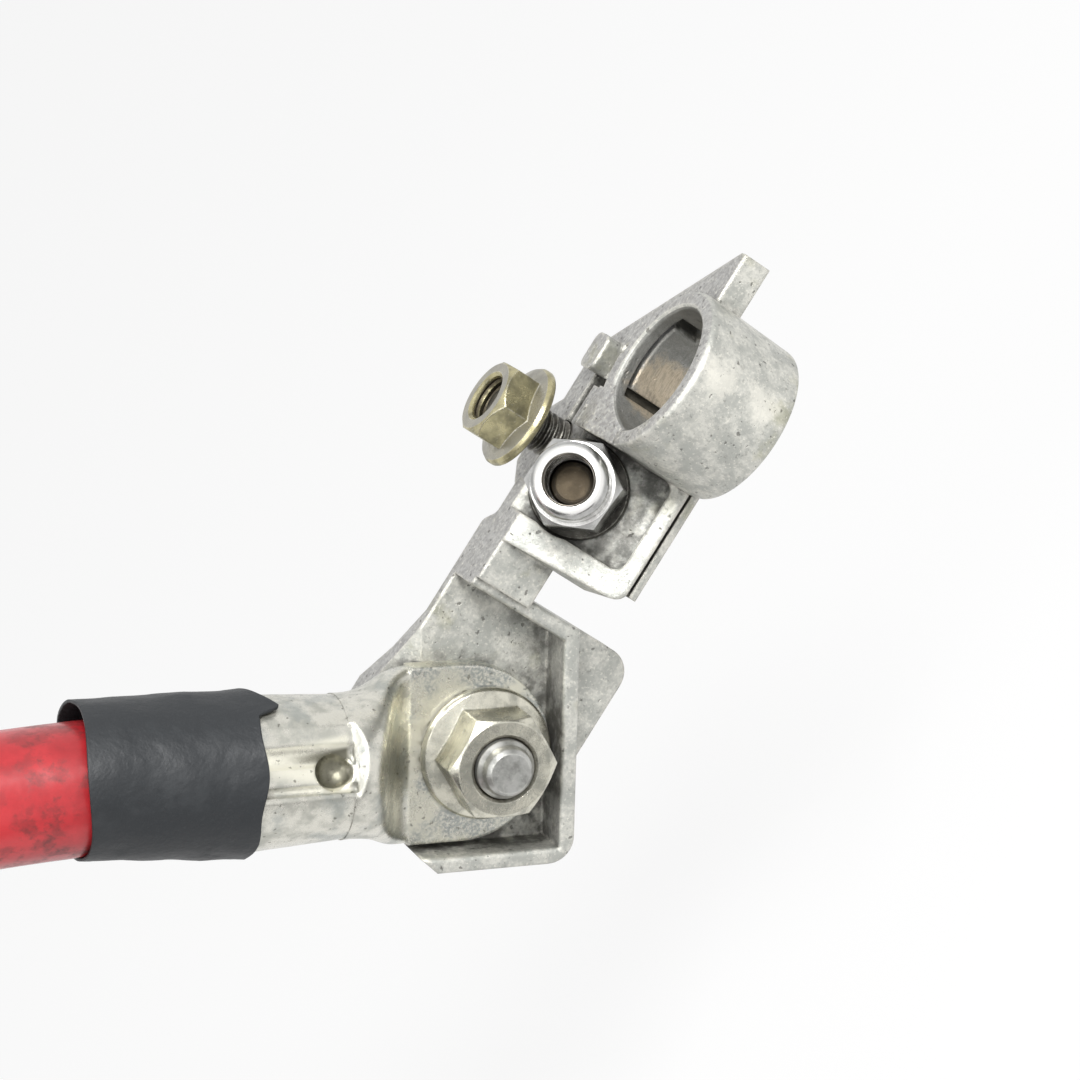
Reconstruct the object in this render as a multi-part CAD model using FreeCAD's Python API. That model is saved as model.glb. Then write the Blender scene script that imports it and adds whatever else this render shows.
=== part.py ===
import FreeCAD, Part
import math
import os

from FreeCAD import Matrix, Vector

# A clamp for a battery post, with its cable. Lengths are in millimetres and angles in degrees.
# The origin is the centre of the post bore at half its height. +Z runs up the post, -X runs along
# the bar from the post ring to the cable lug, and +Y points to the back of the bar.

# Post ring
POST_BORE_R = 8.8
RING_WALL = 2.5
RING_HALF = 7.5
RING_DRAFT = 0.4
MOUTH_CHAMFER = 0.5
RIM_ROUND = 0.9

# Valley beside the mouth, between the band at the back and the front of the ring
BAND_WIDTH = 2.6
VALLEY_SLOPE = 20.0
VALLEY_FRONT = 1.2

# Back flange and the tongue that closes on the post
LEDGE_TOP = 5.0
FLANGE_THICK = 4.0
FLANGE_BACK = 25.0
FLANGE_CORNER_X = -0.2
JAW_BACK = 28.0
JAW_BACK_X = -10.6
TAB_REACH = 6.9
TONGUE_SLIT = 0.6
WALL_SLIT_X = -3.4
WALL_SLIT = 1.2
WINDOW_FROM = 32.0
WINDOW_TO = 48.0
WINDOW_HEIGHT = 3.6
RECESS_LEFT = 5.0
RECESS_RIGHT = 1.6
RECESS_BACK = 17.0

# Upright stop on the flange
STOP_LENGTH = 5.1
STOP_DEPTH = 4.0
STOP_RIGHT_X = 1.4

# Clamp screw, its yoke and the jaws that the yoke draws together
SCREW_X = -13.8
SCREW_FROM_RING = 8.3
SCREW_R = 2.95
SCREW_HOLE_CLEARANCE = 0.3
JAW_SLIT = 1.6
JAW_END_X = -21.3
JAW_CORNER = 2.8
ARM_BACK = 12.2
JAW_BOTTOM = -6.0
TAIL_TOP = -3.2
TAIL_HALF_TOP = 4.2
TAIL_HALF_BOTTOM = 3.6
YOKE_WIDTH = 10.0
YOKE_WALL = 1.9
YOKE_BASE = 2.0
YOKE_CLEARANCE = 0.3
YOKE_TRAVEL = 2.0
SCREW_HEAD_ACROSS = 9.0
SCREW_HEAD_HEIGHT = 2.5

# Flange nuts: hole radius, width across flats, flange radius, flange thickness and height
NUT_THREAD_CLEARANCE = 0.05
NUT_SEAT_GAP = 0.3
M6_ACROSS = 10.0
M6_FLANGE_R = 7.1
M6_HEIGHT = 6.0
M8_ACROSS = 13.0
M8_FLANGE_R = 8.95
M8_HEIGHT = 8.0
FLANGE_EDGE = 1.1
LUG_NUT_TURN = -27.2
CLAMP_NUT_REST = 10.9
SCREW_END_IN_NUT = 4.4

# Ear with its sloping tray and the stud for a second cable
EAR_TILT = 30.0
TRAY_LENGTH = 13.3
TRAY_DEPTH = 3.0
EAR_LIP = 4.2
EAR_LIP_SLANT = 1.0
EAR_CORNER_R = 1.6
TRAY_SIDE_GAP = 0.4
TRAY_LIP = 2.25
EAR_OFFSET = 0.3
STUD_DOWN_SLOPE = 4.65
STUD_SIDE = 6.8
SMALL_STUD_R = 2.95
SMALL_STUD_ROOT = 3.2
SMALL_STUD_REACH = 11.0
COLLAR_ROUND = 1.3
MOUTH_ROUND = 0.4
SLEEVE_TURN = 26.0
WASHER_R = 6.6
WASHER_THICK = 1.0
SLEEVE_ACROSS = 11.0
SLEEVE_HEX_LENGTH = 9.4
SLEEVE_LENGTH = 15.8
SLEEVE_COLLAR_R = 4.95
SLEEVE_MOUTH_R = 3.1
SLEEVE_ROOM = 0.5
RAIL_GAP = 1.0
RAIL_THICK = 1.1
RAIL_FRONT = 4.2
RAIL_ROOT = 12.0

# Neck between ear and cable plate
SLOT_WIDTH = 4.8
NECK_FRONT = 11.8
NECK_BACK = 20.7
NECK_STEP = 18.0
NECK_STEP_BACK = 4.5
NECK_STEP_RUN = 1.7
NECK_BOTTOM = -0.9

# Plate and pocket that hold the cable lug
PLATE_FLOOR = 19.2
PLATE_BACK = 23.4
PLATE_PAD_BACK = 28.0
PLATE_BOTTOM = -21.6
PLATE_CORNER_R = 3.6
PLATE_LEFT_DROP = -3.5
POCKET_RIM = 12.6
POCKET_WALL = 2.2
POCKET_CLEARANCE = 0.5
POCKET_RIM_ROUND = 0.6
WALL_END = 7.2
FLARE_RELIEF_ANGLE = 38.0
FLARE_RELIEF_LEAD = 2.4

# The same plate, measured along the bar from the big stud towards the post
PAD_FROM_STUD = 6.4
PAD_FOOT_FROM_STUD = 13.4
PLATE_END_FROM_STUD = -4.1
BEVEL_START_FROM_STUD = 11.9
BEVEL_BEND_FROM_STUD = 5.4
BEVEL_END_FROM_STUD = -1.1
BEVEL_BEND_RISE = 3.0

# Cable lug, in a frame on the big stud: t along the cable, w across it, Y as depth
POST_TO_STUD = 53.4
BIG_STUD_Z = -8.35
BIG_STUD_R = 3.95
BIG_STUD_TIP = 2.2
TIP_R = 3.15
STUD_HEAD_R = 6.4
STUD_HEAD_THICK = 2.4
CABLE_ANGLE = 57.2
PALM_WIDTH = 24.0
PALM_THICK = 3.0
PALM_TIP = 9.1
PALM_BACK = 10.4
PALM_HOLE_CLEARANCE = 0.25
BARREL_START = 18.9
BARREL_END = 38.5
BARREL_R = 9.4
BARREL_MOUTH_R = 10.4
BARREL_AXIS_DEPTH = 14.9
BARREL_BORE_R = 6.9
BARREL_BORE_START = 27.0
CORE_CLEARANCE = 0.1

# Crimp, turned about the barrel's axis: a flat with two grooves and a dimple at its closed end
CRIMP_TURN = 21.0
CRIMP_START = 20.4
CRIMP_FLAT_DEPTH = 1.2
WIDE_GROOVE = (0.9, 1.5, 0.7)
THIN_GROOVE = (-3.4, 0.7, 0.5)
DIMPLE_T = 23.4
DIMPLE_W = -1.2
DIMPLE_R = 2.7
DIMPLE_DEPTH = 1.9

# Cable, tape and the far end
CABLE_R = 8.6
TAPE_START = 31.2
TAPE_LENGTH = 25.0
TAPE_THICK = 0.7
TAPE_BULGE = 1.2
TAPE_CLEARANCE = 0.1
FAR_SLEEVE_LENGTH = 34.0
FAR_SLEEVE_WALL = 0.9

# The cable leaves the lug straight for its first run, then each further run is a step in X, Y, Z.
CABLE_FIRST_RUN = 64.0
CABLE_STEPS = [
    (-60.7, 0.9, 21.8),
    (-63.2, 1.8, -19.1),
    (-38.9, 2.0, -52.1),
    (-0.7, 1.6, -62.8),
]
ARC_SHARE = 0.45

# Sizes that follow from those above
RING_R = POST_BORE_R + RING_WALL
SCREW_Y = RING_R + SCREW_FROM_RING
TRAY_RIGHT_X = TRAY_SIDE_GAP - RING_R
TRAY_LEFT_X = TRAY_RIGHT_X - TRAY_LENGTH
EAR_LEFT_X = TRAY_LEFT_X - EAR_LIP
PLATE_RIGHT_X = EAR_LEFT_X - SLOT_WIDTH
BIG_NUT_SEAT = PLATE_FLOOR - PALM_THICK
BIG_STUD_X = -POST_TO_STUD
NECK_STEP_X = JAW_END_X - NECK_STEP_BACK
OVER = 60.0

TILT = math.radians(EAR_TILT)
EAR_NORMAL = Vector(0, -math.cos(TILT), math.sin(TILT))
EAR_DOWN = Vector(0, -math.sin(TILT), -math.cos(TILT))
TURN = math.radians(CABLE_ANGLE)
ALONG = Vector(-math.cos(TURN), 0, math.sin(TURN))
ACROSS = Vector(math.sin(TURN), 0, math.cos(TURN))


def box(x0, x1, y0, y1, z0, z1):
    """A box between two corners."""
    return Part.makeBox(x1 - x0, y1 - y0, z1 - z0, Vector(x0, y0, z0))


def prism(points, direction):
    """A closed outline of points, pushed along a direction."""
    return Part.Face(Part.makePolygon(points + points[:1])).extrude(direction)


def plan(points, z0, z1):
    """An outline seen from above, between two heights."""
    return prism([Vector(x, y, z0) for x, y in points], Vector(0, 0, z1 - z0))


def elevation(points, y0, y1):
    """An outline of X and Z, between two depths."""
    return prism([Vector(x, y0, z) for x, z in points], Vector(0, y1 - y0, 0))


def side(points, x0, x1):
    """An outline of Y and Z, between two places along the bar."""
    return prism([Vector(x0, y, z) for y, z in points], Vector(x1 - x0, 0, 0))


def rounded_uprights(shape, radius, spots):
    """A shape with the upright edges at some places in X and Y rounded."""
    edges = [
        e for e in shape.Edges
        if e.BoundBox.ZMax - e.BoundBox.ZMin > 1 and any(
            abs(e.BoundBox.XMin - x) < 0.01 and abs(e.BoundBox.YMin - y) < 0.01 for x, y in spots)
    ]
    return shape.makeFillet(radius, edges)


def rod(start, direction, radius, length):
    """A cylinder from a point along a direction."""
    return Part.makeCylinder(radius, length, start, direction)


def turned(points):
    """A solid turned about Z from an outline of radius and height."""
    outline = Part.Face(Part.makePolygon([Vector(r, 0, z) for r, z in points + points[:1]]))
    return outline.revolve(Vector(0, 0, 0), Vector(0, 0, 1), 360)


def hexagon(across, height):
    """A hexagonal prism about Z, with a flat facing +X."""
    corner = across / math.sqrt(3)
    spots = [math.radians(30 + 60 * i) for i in range(6)]
    outline = [Vector(corner * math.cos(a), corner * math.sin(a), 0) for a in spots]
    return prism(outline, Vector(0, 0, height))


def placed(shape, origin, x_axis, z_axis):
    """A shape moved from its own frame to an origin, its X and Z laid along two axes."""
    y_axis = z_axis.cross(x_axis)
    matrix = Matrix(
        x_axis.x, y_axis.x, z_axis.x, origin.x,
        x_axis.y, y_axis.y, z_axis.y, origin.y,
        x_axis.z, y_axis.z, z_axis.z, origin.z,
        0, 0, 0, 1,
    )
    moved = shape.copy()
    moved.Placement = FreeCAD.Placement(matrix).multiply(shape.Placement)
    return moved


def in_lug_frame(shape, depth):
    """A shape drawn with X along the cable, Y across it and Z as depth, laid at the big stud."""
    return placed(shape, Vector(BIG_STUD_X, depth, BIG_STUD_Z), ALONG, Vector(0, 1, 0))


def on_ear(shape, above_floor=0.0):
    """A shape drawn about Z, stood on the tray floor at the small stud."""
    return placed(shape, stud_foot() + EAR_NORMAL * above_floor, Vector(1, 0, 0), EAR_NORMAL)


def stud_foot():
    """Where the small stud's axis meets the tray floor."""
    top = Vector(TRAY_RIGHT_X - STUD_SIDE, RING_R + EAR_OFFSET, RING_HALF) - EAR_NORMAL * TRAY_DEPTH
    return top + EAR_DOWN * STUD_DOWN_SLOPE


def at_screw(shape, z):
    """A shape drawn about Z, moved to the clamp screw's axis."""
    shape.translate(Vector(SCREW_X, SCREW_Y, z))
    return shape


def flange_nut(hole_r, across, flange_r, height):
    """A flange nut about Z, its flange at the bottom: dished edge, chamfered hexagon, plain hole."""
    corner = across / math.sqrt(3)
    skirt = turned([
        (0, 0), (flange_r, 0), (flange_r, 0.55 * FLANGE_EDGE), (flange_r - 0.3, FLANGE_EDGE),
        (0.5 * across, FLANGE_EDGE + 0.35 * (flange_r - 0.5 * across)), (0, height / 2),
    ])
    crown = turned([
        (0, 0), (corner, 0), (corner, height - 0.9), (0.5 * across - 0.2, height), (0, height),
    ])
    nut = hexagon(across, height).common(crown).fuse(skirt)
    mouth = Part.makeCone(hole_r, hole_r + 0.6, 0.6, Vector(0, 0, height - 0.6))
    return nut.cut(rod(Vector(0, 0, -1), Vector(0, 0, 1), hole_r, height + 2)).cut(mouth)


def ring():
    """The drafted ring with its rounded rim."""
    body = Part.makeCone(RING_R - RING_DRAFT, RING_R, 2 * RING_HALF, Vector(0, 0, -RING_HALF))
    rims = [e for e in body.Edges if abs(e.BoundBox.ZMax - e.BoundBox.ZMin) < 0.01]
    return body.makeFillet(RIM_ROUND, rims)


def post_bore():
    """The bore, with a chamfer at each mouth."""
    hole = rod(Vector(0, 0, -RING_HALF - 1), Vector(0, 0, 1), POST_BORE_R, 2 * RING_HALF + 2)
    wide = POST_BORE_R + MOUTH_CHAMFER
    top = Part.makeCone(POST_BORE_R, wide, MOUTH_CHAMFER, Vector(0, 0, RING_HALF - MOUTH_CHAMFER))
    low = Part.makeCone(wide, POST_BORE_R, MOUTH_CHAMFER, Vector(0, 0, -RING_HALF))
    return hole.fuse([top, low])


def band():
    """The band that runs on from the ring's back to the tray, flush with the ring's top."""
    back = RING_R
    return box(TRAY_RIGHT_X, 0, 0, back, -RING_HALF, RING_HALF)


def valley():
    """What is cut from the band and the ring's left side: a slope that falls to the front."""
    crease = RING_R - BAND_WIDTH
    drop = math.tan(math.radians(VALLEY_SLOPE)) * (crease + VALLEY_FRONT)
    low = RING_HALF - drop
    high = RING_HALF + 1
    outline = [(crease, high), (crease, RING_HALF), (-VALLEY_FRONT, low), (-VALLEY_FRONT, high)]
    return side(outline, -RING_R - BAND_WIDTH, 0)


def flange():
    """The back flange: straight edge from the tab to the corner behind the stop."""
    outline = [
        (0, 0), (RING_R + TAB_REACH, 0), (RING_R + TAB_REACH, 1.2),
        (FLANGE_CORNER_X, FLANGE_BACK), (JAW_BACK_X + 2.2, FLANGE_BACK), (JAW_BACK_X, FLANGE_BACK),
        (JAW_BACK_X, 0),
    ]
    return rounded_uprights(plan(outline, LEDGE_TOP - FLANGE_THICK, LEDGE_TOP), 0.5, outline[2:3])


def stop():
    """The upright stop on the flange, with rounded upper edges."""
    left = STOP_RIGHT_X - STOP_LENGTH
    block = box(left, STOP_RIGHT_X, RECESS_BACK, RECESS_BACK + STOP_DEPTH,
                LEDGE_TOP - FLANGE_THICK, RING_HALF)
    upright = [e for e in block.Edges if e.BoundBox.ZMax - e.BoundBox.ZMin > 1]
    return block.makeFillet(1.2, upright)


def jaws():
    """The two jaws at the clamp screw, before the slit divides them."""
    block = plan([
        (JAW_END_X, RING_R - 1), (-RECESS_LEFT, RING_R - 1), (-RECESS_LEFT, FLANGE_BACK),
        (JAW_BACK_X + 2.2, FLANGE_BACK), (JAW_BACK_X, JAW_BACK),
        (JAW_END_X + JAW_CORNER, JAW_BACK - 0.6), (JAW_END_X, JAW_BACK - 0.6 - 1.2 * JAW_CORNER),
    ], JAW_BOTTOM, LEDGE_TOP)
    block = rounded_uprights(block, 1.0, [
        (JAW_BACK_X, JAW_BACK), (JAW_END_X + JAW_CORNER, JAW_BACK - 0.6),
        (JAW_END_X, JAW_BACK - 0.6 - 1.2 * JAW_CORNER),
    ])
    tails = side([
        (SCREW_Y - TAIL_HALF_TOP, TAIL_TOP), (SCREW_Y + TAIL_HALF_TOP, TAIL_TOP),
        (SCREW_Y + TAIL_HALF_BOTTOM, JAW_BOTTOM - 1), (SCREW_Y - TAIL_HALF_BOTTOM, JAW_BOTTOM - 1),
    ], SCREW_X - OVER, SCREW_X + OVER)
    half = YOKE_WIDTH / 2 + 2 * YOKE_CLEARANCE
    room = box(SCREW_X - half, SCREW_X + half, yoke_front() - YOKE_CLEARANCE, JAW_BACK + 2,
               JAW_BOTTOM - 5, TAIL_TOP)
    return block, room.cut(tails)


def yoke_front():
    """The front face of the yoke."""
    return SCREW_Y - TAIL_HALF_TOP - YOKE_CLEARANCE - YOKE_WALL


def ear():
    """The ear: a block whose front is the sloping lip, with the rail under its foot."""
    top = Vector(0, RING_R + EAR_OFFSET, RING_HALF)
    foot = top + EAR_DOWN * (2 * RING_HALF / math.cos(TILT))
    outline = [(top.y, top.z), (foot.y, foot.z), (ARM_BACK, -RING_HALF), (ARM_BACK, RING_HALF)]
    block = side(outline, EAR_LEFT_X, TRAY_RIGHT_X + 3.0)
    slant = plan([
        (EAR_LEFT_X - 1, top.y), (EAR_LEFT_X, top.y),
        (EAR_LEFT_X + EAR_LIP_SLANT, foot.y), (EAR_LEFT_X + EAR_LIP_SLANT, foot.y - 1),
        (EAR_LEFT_X - 1, foot.y - 1),
    ], -OVER, OVER)
    rail = box(EAR_LEFT_X + 2.2, TRAY_RIGHT_X + 1.6, RAIL_FRONT, RAIL_ROOT,
               -RING_HALF - RAIL_GAP - RAIL_THICK, -RING_HALF - RAIL_GAP)
    root = box(EAR_LEFT_X + 2.2, TRAY_RIGHT_X + 1.6, RAIL_ROOT - 3, RAIL_ROOT,
               -RING_HALF - RAIL_GAP - RAIL_THICK, -RING_HALF)
    block = block.cut(slant)
    low_end = [
        e for e in block.Edges
        if e.BoundBox.XMax < EAR_LEFT_X + 2 and e.BoundBox.ZMax < 0.01 - RING_HALF
    ]
    return block.makeFillet(EAR_CORNER_R, low_end).fuse([rail, root])


def tray():
    """The tray's hollow, open at its upper end, with rounded lower corners."""
    length = 2 * RING_HALF / math.cos(TILT) - TRAY_LIP
    hollow = Part.makeBox(TRAY_LENGTH, length + OVER, TRAY_DEPTH + OVER)
    corners = [
        e for e in hollow.Edges
        if e.BoundBox.ZMax - e.BoundBox.ZMin > 1 and e.BoundBox.YMax < 0.01
    ]
    hollow = hollow.makeFillet(1.6, corners)
    start = Vector(TRAY_LEFT_X, RING_R + EAR_OFFSET, RING_HALF) + EAR_DOWN * length
    return placed(hollow, start - EAR_NORMAL * TRAY_DEPTH, Vector(1, 0, 0), EAR_NORMAL)


def neck():
    """The neck over the slot, from the ear's end and the front jaw to the cable plate."""
    outline = [
        (JAW_END_X + 1, NECK_FRONT), (JAW_END_X + 1, NECK_STEP), (NECK_STEP_X, NECK_STEP),
        (NECK_STEP_X - NECK_STEP_RUN, NECK_BACK), (PLATE_RIGHT_X - 1, NECK_BACK),
        (PLATE_RIGHT_X - 1, NECK_FRONT),
    ]
    return rounded_uprights(plan(outline, NECK_BOTTOM, RING_HALF), 1.2, outline[2:4])


def slot():
    """The slot between ear and plate, open at the bottom and round at the top."""
    mid = (PLATE_RIGHT_X + EAR_LEFT_X) / 2
    radius = SLOT_WIDTH / 2
    top = NECK_BOTTOM - radius
    straight = box(mid - radius, mid + radius, -OVER, OVER, -OVER, top)
    return straight.fuse(rod(Vector(mid, -OVER, top), Vector(0, 1, 0), radius, 2 * OVER))


def lug_point(t, w):
    """X and Z of a place t along the cable and w across it from the big stud."""
    spot = ALONG * t + ACROSS * w
    return (BIG_STUD_X + spot.x, BIG_STUD_Z + spot.z)


def pocket_lines():
    """The inner corners of the pocket wall, from the neck round to the cable side."""
    ahead = -PALM_TIP - POCKET_CLEARANCE
    below = -PALM_WIDTH / 2 - 2 * POCKET_CLEARANCE
    inner_right = PLATE_RIGHT_X - POCKET_WALL
    turn_w = (inner_right - lug_point(ahead, 0)[0]) / ACROSS.x
    return [
        (inner_right, RING_HALF),
        (inner_right, lug_point(ahead, turn_w)[1]),
        lug_point(ahead, below),
        lug_point(WALL_END - 0.6, below),
    ]


def plate():
    """The plate behind the lug, with its corner tab and the thicker pad round the stud's head."""
    ahead = -PALM_TIP - POCKET_CLEARANCE - POCKET_WALL
    below = -PALM_WIDTH / 2 - 2 * POCKET_CLEARANCE - POCKET_WALL
    low_w = (PLATE_BOTTOM - lug_point(ahead, 0)[1]) / ACROSS.z
    left = BIG_STUD_X + PLATE_END_FROM_STUD
    outline = [
        (PLATE_RIGHT_X, RING_HALF), (left, RING_HALF), (left - 2.6, PLATE_LEFT_DROP + 6),
        lug_point(WALL_END + 2.4, below + 2.2), lug_point(WALL_END, below),
        lug_point(ahead, below), lug_point(ahead, low_w), (PLATE_RIGHT_X, PLATE_BOTTOM),
    ]
    back = plan([
        (PLATE_RIGHT_X, PLATE_FLOOR), (PLATE_RIGHT_X, PLATE_BACK),
        (BIG_STUD_X + PAD_FOOT_FROM_STUD, PLATE_BACK), (BIG_STUD_X + PAD_FROM_STUD, PLATE_PAD_BACK),
        (-OVER * 2, PLATE_PAD_BACK), (-OVER * 2, PLATE_FLOOR),
    ], -OVER, OVER)
    behind = PLATE_PAD_BACK + 0.5
    bevel = prism([
        Vector(PLATE_RIGHT_X + 1, NECK_BACK, RING_HALF),
        Vector(BIG_STUD_X + BEVEL_START_FROM_STUD, NECK_BACK, RING_HALF),
        Vector(BIG_STUD_X + BEVEL_BEND_FROM_STUD, NECK_BACK + BEVEL_BEND_RISE, RING_HALF),
        Vector(BIG_STUD_X + BEVEL_END_FROM_STUD, behind, RING_HALF),
        Vector(PLATE_RIGHT_X + 1, behind, RING_HALF),
    ], Vector(0, 9, -9))
    sheet = elevation(outline, PLATE_FLOOR - 0.5, PLATE_PAD_BACK).common(back).cut(bevel)
    corner = [
        e for e in sheet.Edges
        if abs(e.BoundBox.XMax - PLATE_RIGHT_X) < 0.01 and abs(e.BoundBox.ZMin - PLATE_BOTTOM) < 0.01
        and e.BoundBox.ZMax - e.BoundBox.ZMin < 0.01 and e.BoundBox.YMax - e.BoundBox.YMin > 1
    ]
    return sheet.makeFillet(PLATE_CORNER_R, corner)


def pocket_wall():
    """The raised wall round the lug, its outer corners rounded."""
    ahead = -PALM_TIP - POCKET_CLEARANCE - POCKET_WALL
    below = -PALM_WIDTH / 2 - 2 * POCKET_CLEARANCE - POCKET_WALL
    turn_w = (PLATE_RIGHT_X - lug_point(ahead, 0)[0]) / ACROSS.x
    outer = [
        lug_point(WALL_END + 2.4, below + 2.2), lug_point(WALL_END, below), lug_point(ahead, below),
        lug_point(ahead, turn_w),
        (PLATE_RIGHT_X, RING_HALF),
    ]
    wall = elevation(pocket_lines() + outer, POCKET_RIM, PLATE_FLOOR + 1)
    spot = lug_point(ahead, below)
    corner = [
        e for e in wall.Edges
        if abs(e.BoundBox.XMin - spot[0]) < 0.01 and abs(e.BoundBox.ZMin - spot[1]) < 0.01
        and e.BoundBox.YMax - e.BoundBox.YMin > 1
    ]
    wall = wall.makeFillet(PLATE_CORNER_R, corner)
    rim = [
        e for e in wall.Edges
        if e.BoundBox.YMax < POCKET_RIM + 0.01 and e.BoundBox.ZMin < RING_HALF - 0.01
    ]
    return wall.makeFillet(POCKET_RIM_ROUND, rim)


def flare_relief():
    """A ramp in the plate's cable side that clears the lug where it swells to its barrel."""
    rise = math.tan(math.radians(FLARE_RELIEF_ANGLE))
    start = PALM_BACK - FLARE_RELIEF_LEAD
    end = start + OVER
    outline = [
        Vector(start, -OVER, 0), Vector(end, -OVER, OVER * rise), Vector(end, -OVER, -OVER),
        Vector(start, -OVER, -OVER),
    ]
    ramp = prism(outline, Vector(0, 2 * OVER, 0))
    keep = box(-OVER, OVER, -PALM_WIDTH / 2 - POCKET_CLEARANCE, OVER, -OVER, OVER)
    return in_lug_frame(ramp.common(keep), PLATE_FLOOR)


def tongue_slits():
    """The slits that free the tongue: under the rim, through the wall, and past the jaws."""
    outer = RING_R + 1.5
    under = Part.makeCylinder(outer, TONGUE_SLIT, Vector(0, 0, LEDGE_TOP), Vector(0, 0, 1),
                              180 - WINDOW_FROM - 68)
    under.rotate(Vector(0, 0, 0), Vector(0, 0, 1), WINDOW_FROM)
    wall_slit = box(WALL_SLIT_X - WALL_SLIT, WALL_SLIT_X, POST_BORE_R - 3, RECESS_BACK,
                    -OVER, LEDGE_TOP + TONGUE_SLIT)
    window = Part.makeCylinder(outer, WINDOW_HEIGHT, Vector(0, 0, LEDGE_TOP - WINDOW_HEIGHT),
                               Vector(0, 0, 1), WINDOW_TO - WINDOW_FROM)
    window.rotate(Vector(0, 0, 0), Vector(0, 0, 1), WINDOW_FROM)
    slit_front = SCREW_Y - JAW_SLIT / 2
    jaw_slit = box(JAW_END_X - 4, -RECESS_LEFT + 1.4, slit_front, slit_front + JAW_SLIT,
                   -OVER, RING_HALF - 0.5)
    link = box(-RECESS_LEFT, -RECESS_LEFT + 1.4, RECESS_BACK - 1, slit_front + JAW_SLIT,
               -OVER, LEDGE_TOP + 1)
    return [under, wall_slit, window, jaw_slit, link]


def recess():
    """The open space between the ring and the stop."""
    block = box(-RECESS_LEFT, RECESS_RIGHT, 0, RECESS_BACK, -OVER, OVER)
    return block.cut(rod(Vector(0, 0, -OVER), Vector(0, 0, 1), RING_R, 2 * OVER))


def stud_holes():
    """The holes for the clamp screw, the small stud's root and the big stud with its head."""
    screw = rod(Vector(SCREW_X, SCREW_Y, -OVER), Vector(0, 0, 1),
                SCREW_R + SCREW_HOLE_CLEARANCE, OVER + RING_HALF)
    root = rod(stud_foot() + EAR_NORMAL, EAR_NORMAL * -1,
               SMALL_STUD_R + NUT_THREAD_CLEARANCE, SMALL_STUD_ROOT + 1 + NUT_THREAD_CLEARANCE)
    shank = rod(Vector(BIG_STUD_X, PLATE_FLOOR - 1, BIG_STUD_Z), Vector(0, 1, 0),
                BIG_STUD_R + NUT_THREAD_CLEARANCE, OVER)
    head = rod(Vector(BIG_STUD_X, PLATE_PAD_BACK - STUD_HEAD_THICK - NUT_THREAD_CLEARANCE, BIG_STUD_Z),
               Vector(0, 1, 0), STUD_HEAD_R + NUT_THREAD_CLEARANCE, OVER)
    return [screw, root, shank, head]


def nut_room():
    """The room for the sleeve nut's corners to turn, taken from the ring's side."""
    radius = SLEEVE_ACROSS / math.sqrt(3) + SLEEVE_ROOM
    return on_ear(rod(Vector(0, 0, 0), Vector(0, 0, 1), radius, SLEEVE_LENGTH))


def clamp_body():
    """The whole casting."""
    block, room = jaws()
    body = ring().fuse([band(), flange(), block, ear(), neck(), plate(), pocket_wall(), stop()])
    body = body.cut([valley(), tray(), slot(), recess(), room, flare_relief(), nut_room()])
    return body.cut([post_bore()] + tongue_slits() + stud_holes()).removeSplitter()


def clamp_screw():
    """The clamp screw: square head under the yoke, plain shank, chamfered end in the nut."""
    head_top = JAW_BOTTOM - YOKE_CLEARANCE - YOKE_TRAVEL - YOKE_BASE
    end = CLAMP_NUT_REST + SCREW_END_IN_NUT
    half = SCREW_HEAD_ACROSS / 2
    head = box(-half, half, -half, half, head_top - SCREW_HEAD_HEIGHT, head_top)
    shank = turned([(0, head_top - 0.5), (SCREW_R, head_top - 0.5), (SCREW_R, end - 0.8),
                    (SCREW_R - 0.7, end), (0, end)])
    return at_screw(head.fuse(shank), 0)


def clamp_yoke():
    """The yoke that draws the jaws together, drawn low by its travel."""
    top = JAW_BOTTOM - YOKE_CLEARANCE
    lip = TAIL_TOP - YOKE_CLEARANCE
    slope = (TAIL_HALF_TOP - TAIL_HALF_BOTTOM) / (TAIL_TOP - JAW_BOTTOM + 1)
    wide = TAIL_HALF_TOP + YOKE_CLEARANCE
    narrow = wide - slope * (lip - top)
    out = wide + YOKE_WALL
    outline = [
        (-out, top - YOKE_BASE), (out, top - YOKE_BASE), (out, lip), (wide, lip), (narrow, top),
        (-narrow, top), (-wide, lip), (-out, lip),
    ]
    channel = side(outline, -YOKE_WIDTH / 2, YOKE_WIDTH / 2)
    hole = rod(Vector(0, 0, -OVER), Vector(0, 0, 1), SCREW_R + NUT_THREAD_CLEARANCE, 2 * OVER)
    return at_screw(channel.cut(hole), -YOKE_TRAVEL)


def clamp_nut():
    """The flange nut on the clamp screw, backed off from its seat."""
    nut = flange_nut(SCREW_R + NUT_THREAD_CLEARANCE, M6_ACROSS, M6_FLANGE_R, M6_HEIGHT)
    return at_screw(nut, CLAMP_NUT_REST)


def accessory_stud():
    """The small stud, its root in the ear and its end inside the sleeve nut."""
    reach = SMALL_STUD_REACH
    shank = turned([(0, -SMALL_STUD_ROOT), (SMALL_STUD_R, -SMALL_STUD_ROOT),
                    (SMALL_STUD_R, reach - 0.8), (SMALL_STUD_R - 0.7, reach), (0, reach)])
    return on_ear(shank)


def accessory_washer():
    """The washer under the sleeve nut."""
    disc = turned([(SMALL_STUD_R + 0.2, 0), (WASHER_R, 0), (WASHER_R, WASHER_THICK - 0.25),
                   (WASHER_R - 0.25, WASHER_THICK), (SMALL_STUD_R + 0.2, WASHER_THICK)])
    return on_ear(disc)


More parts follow.
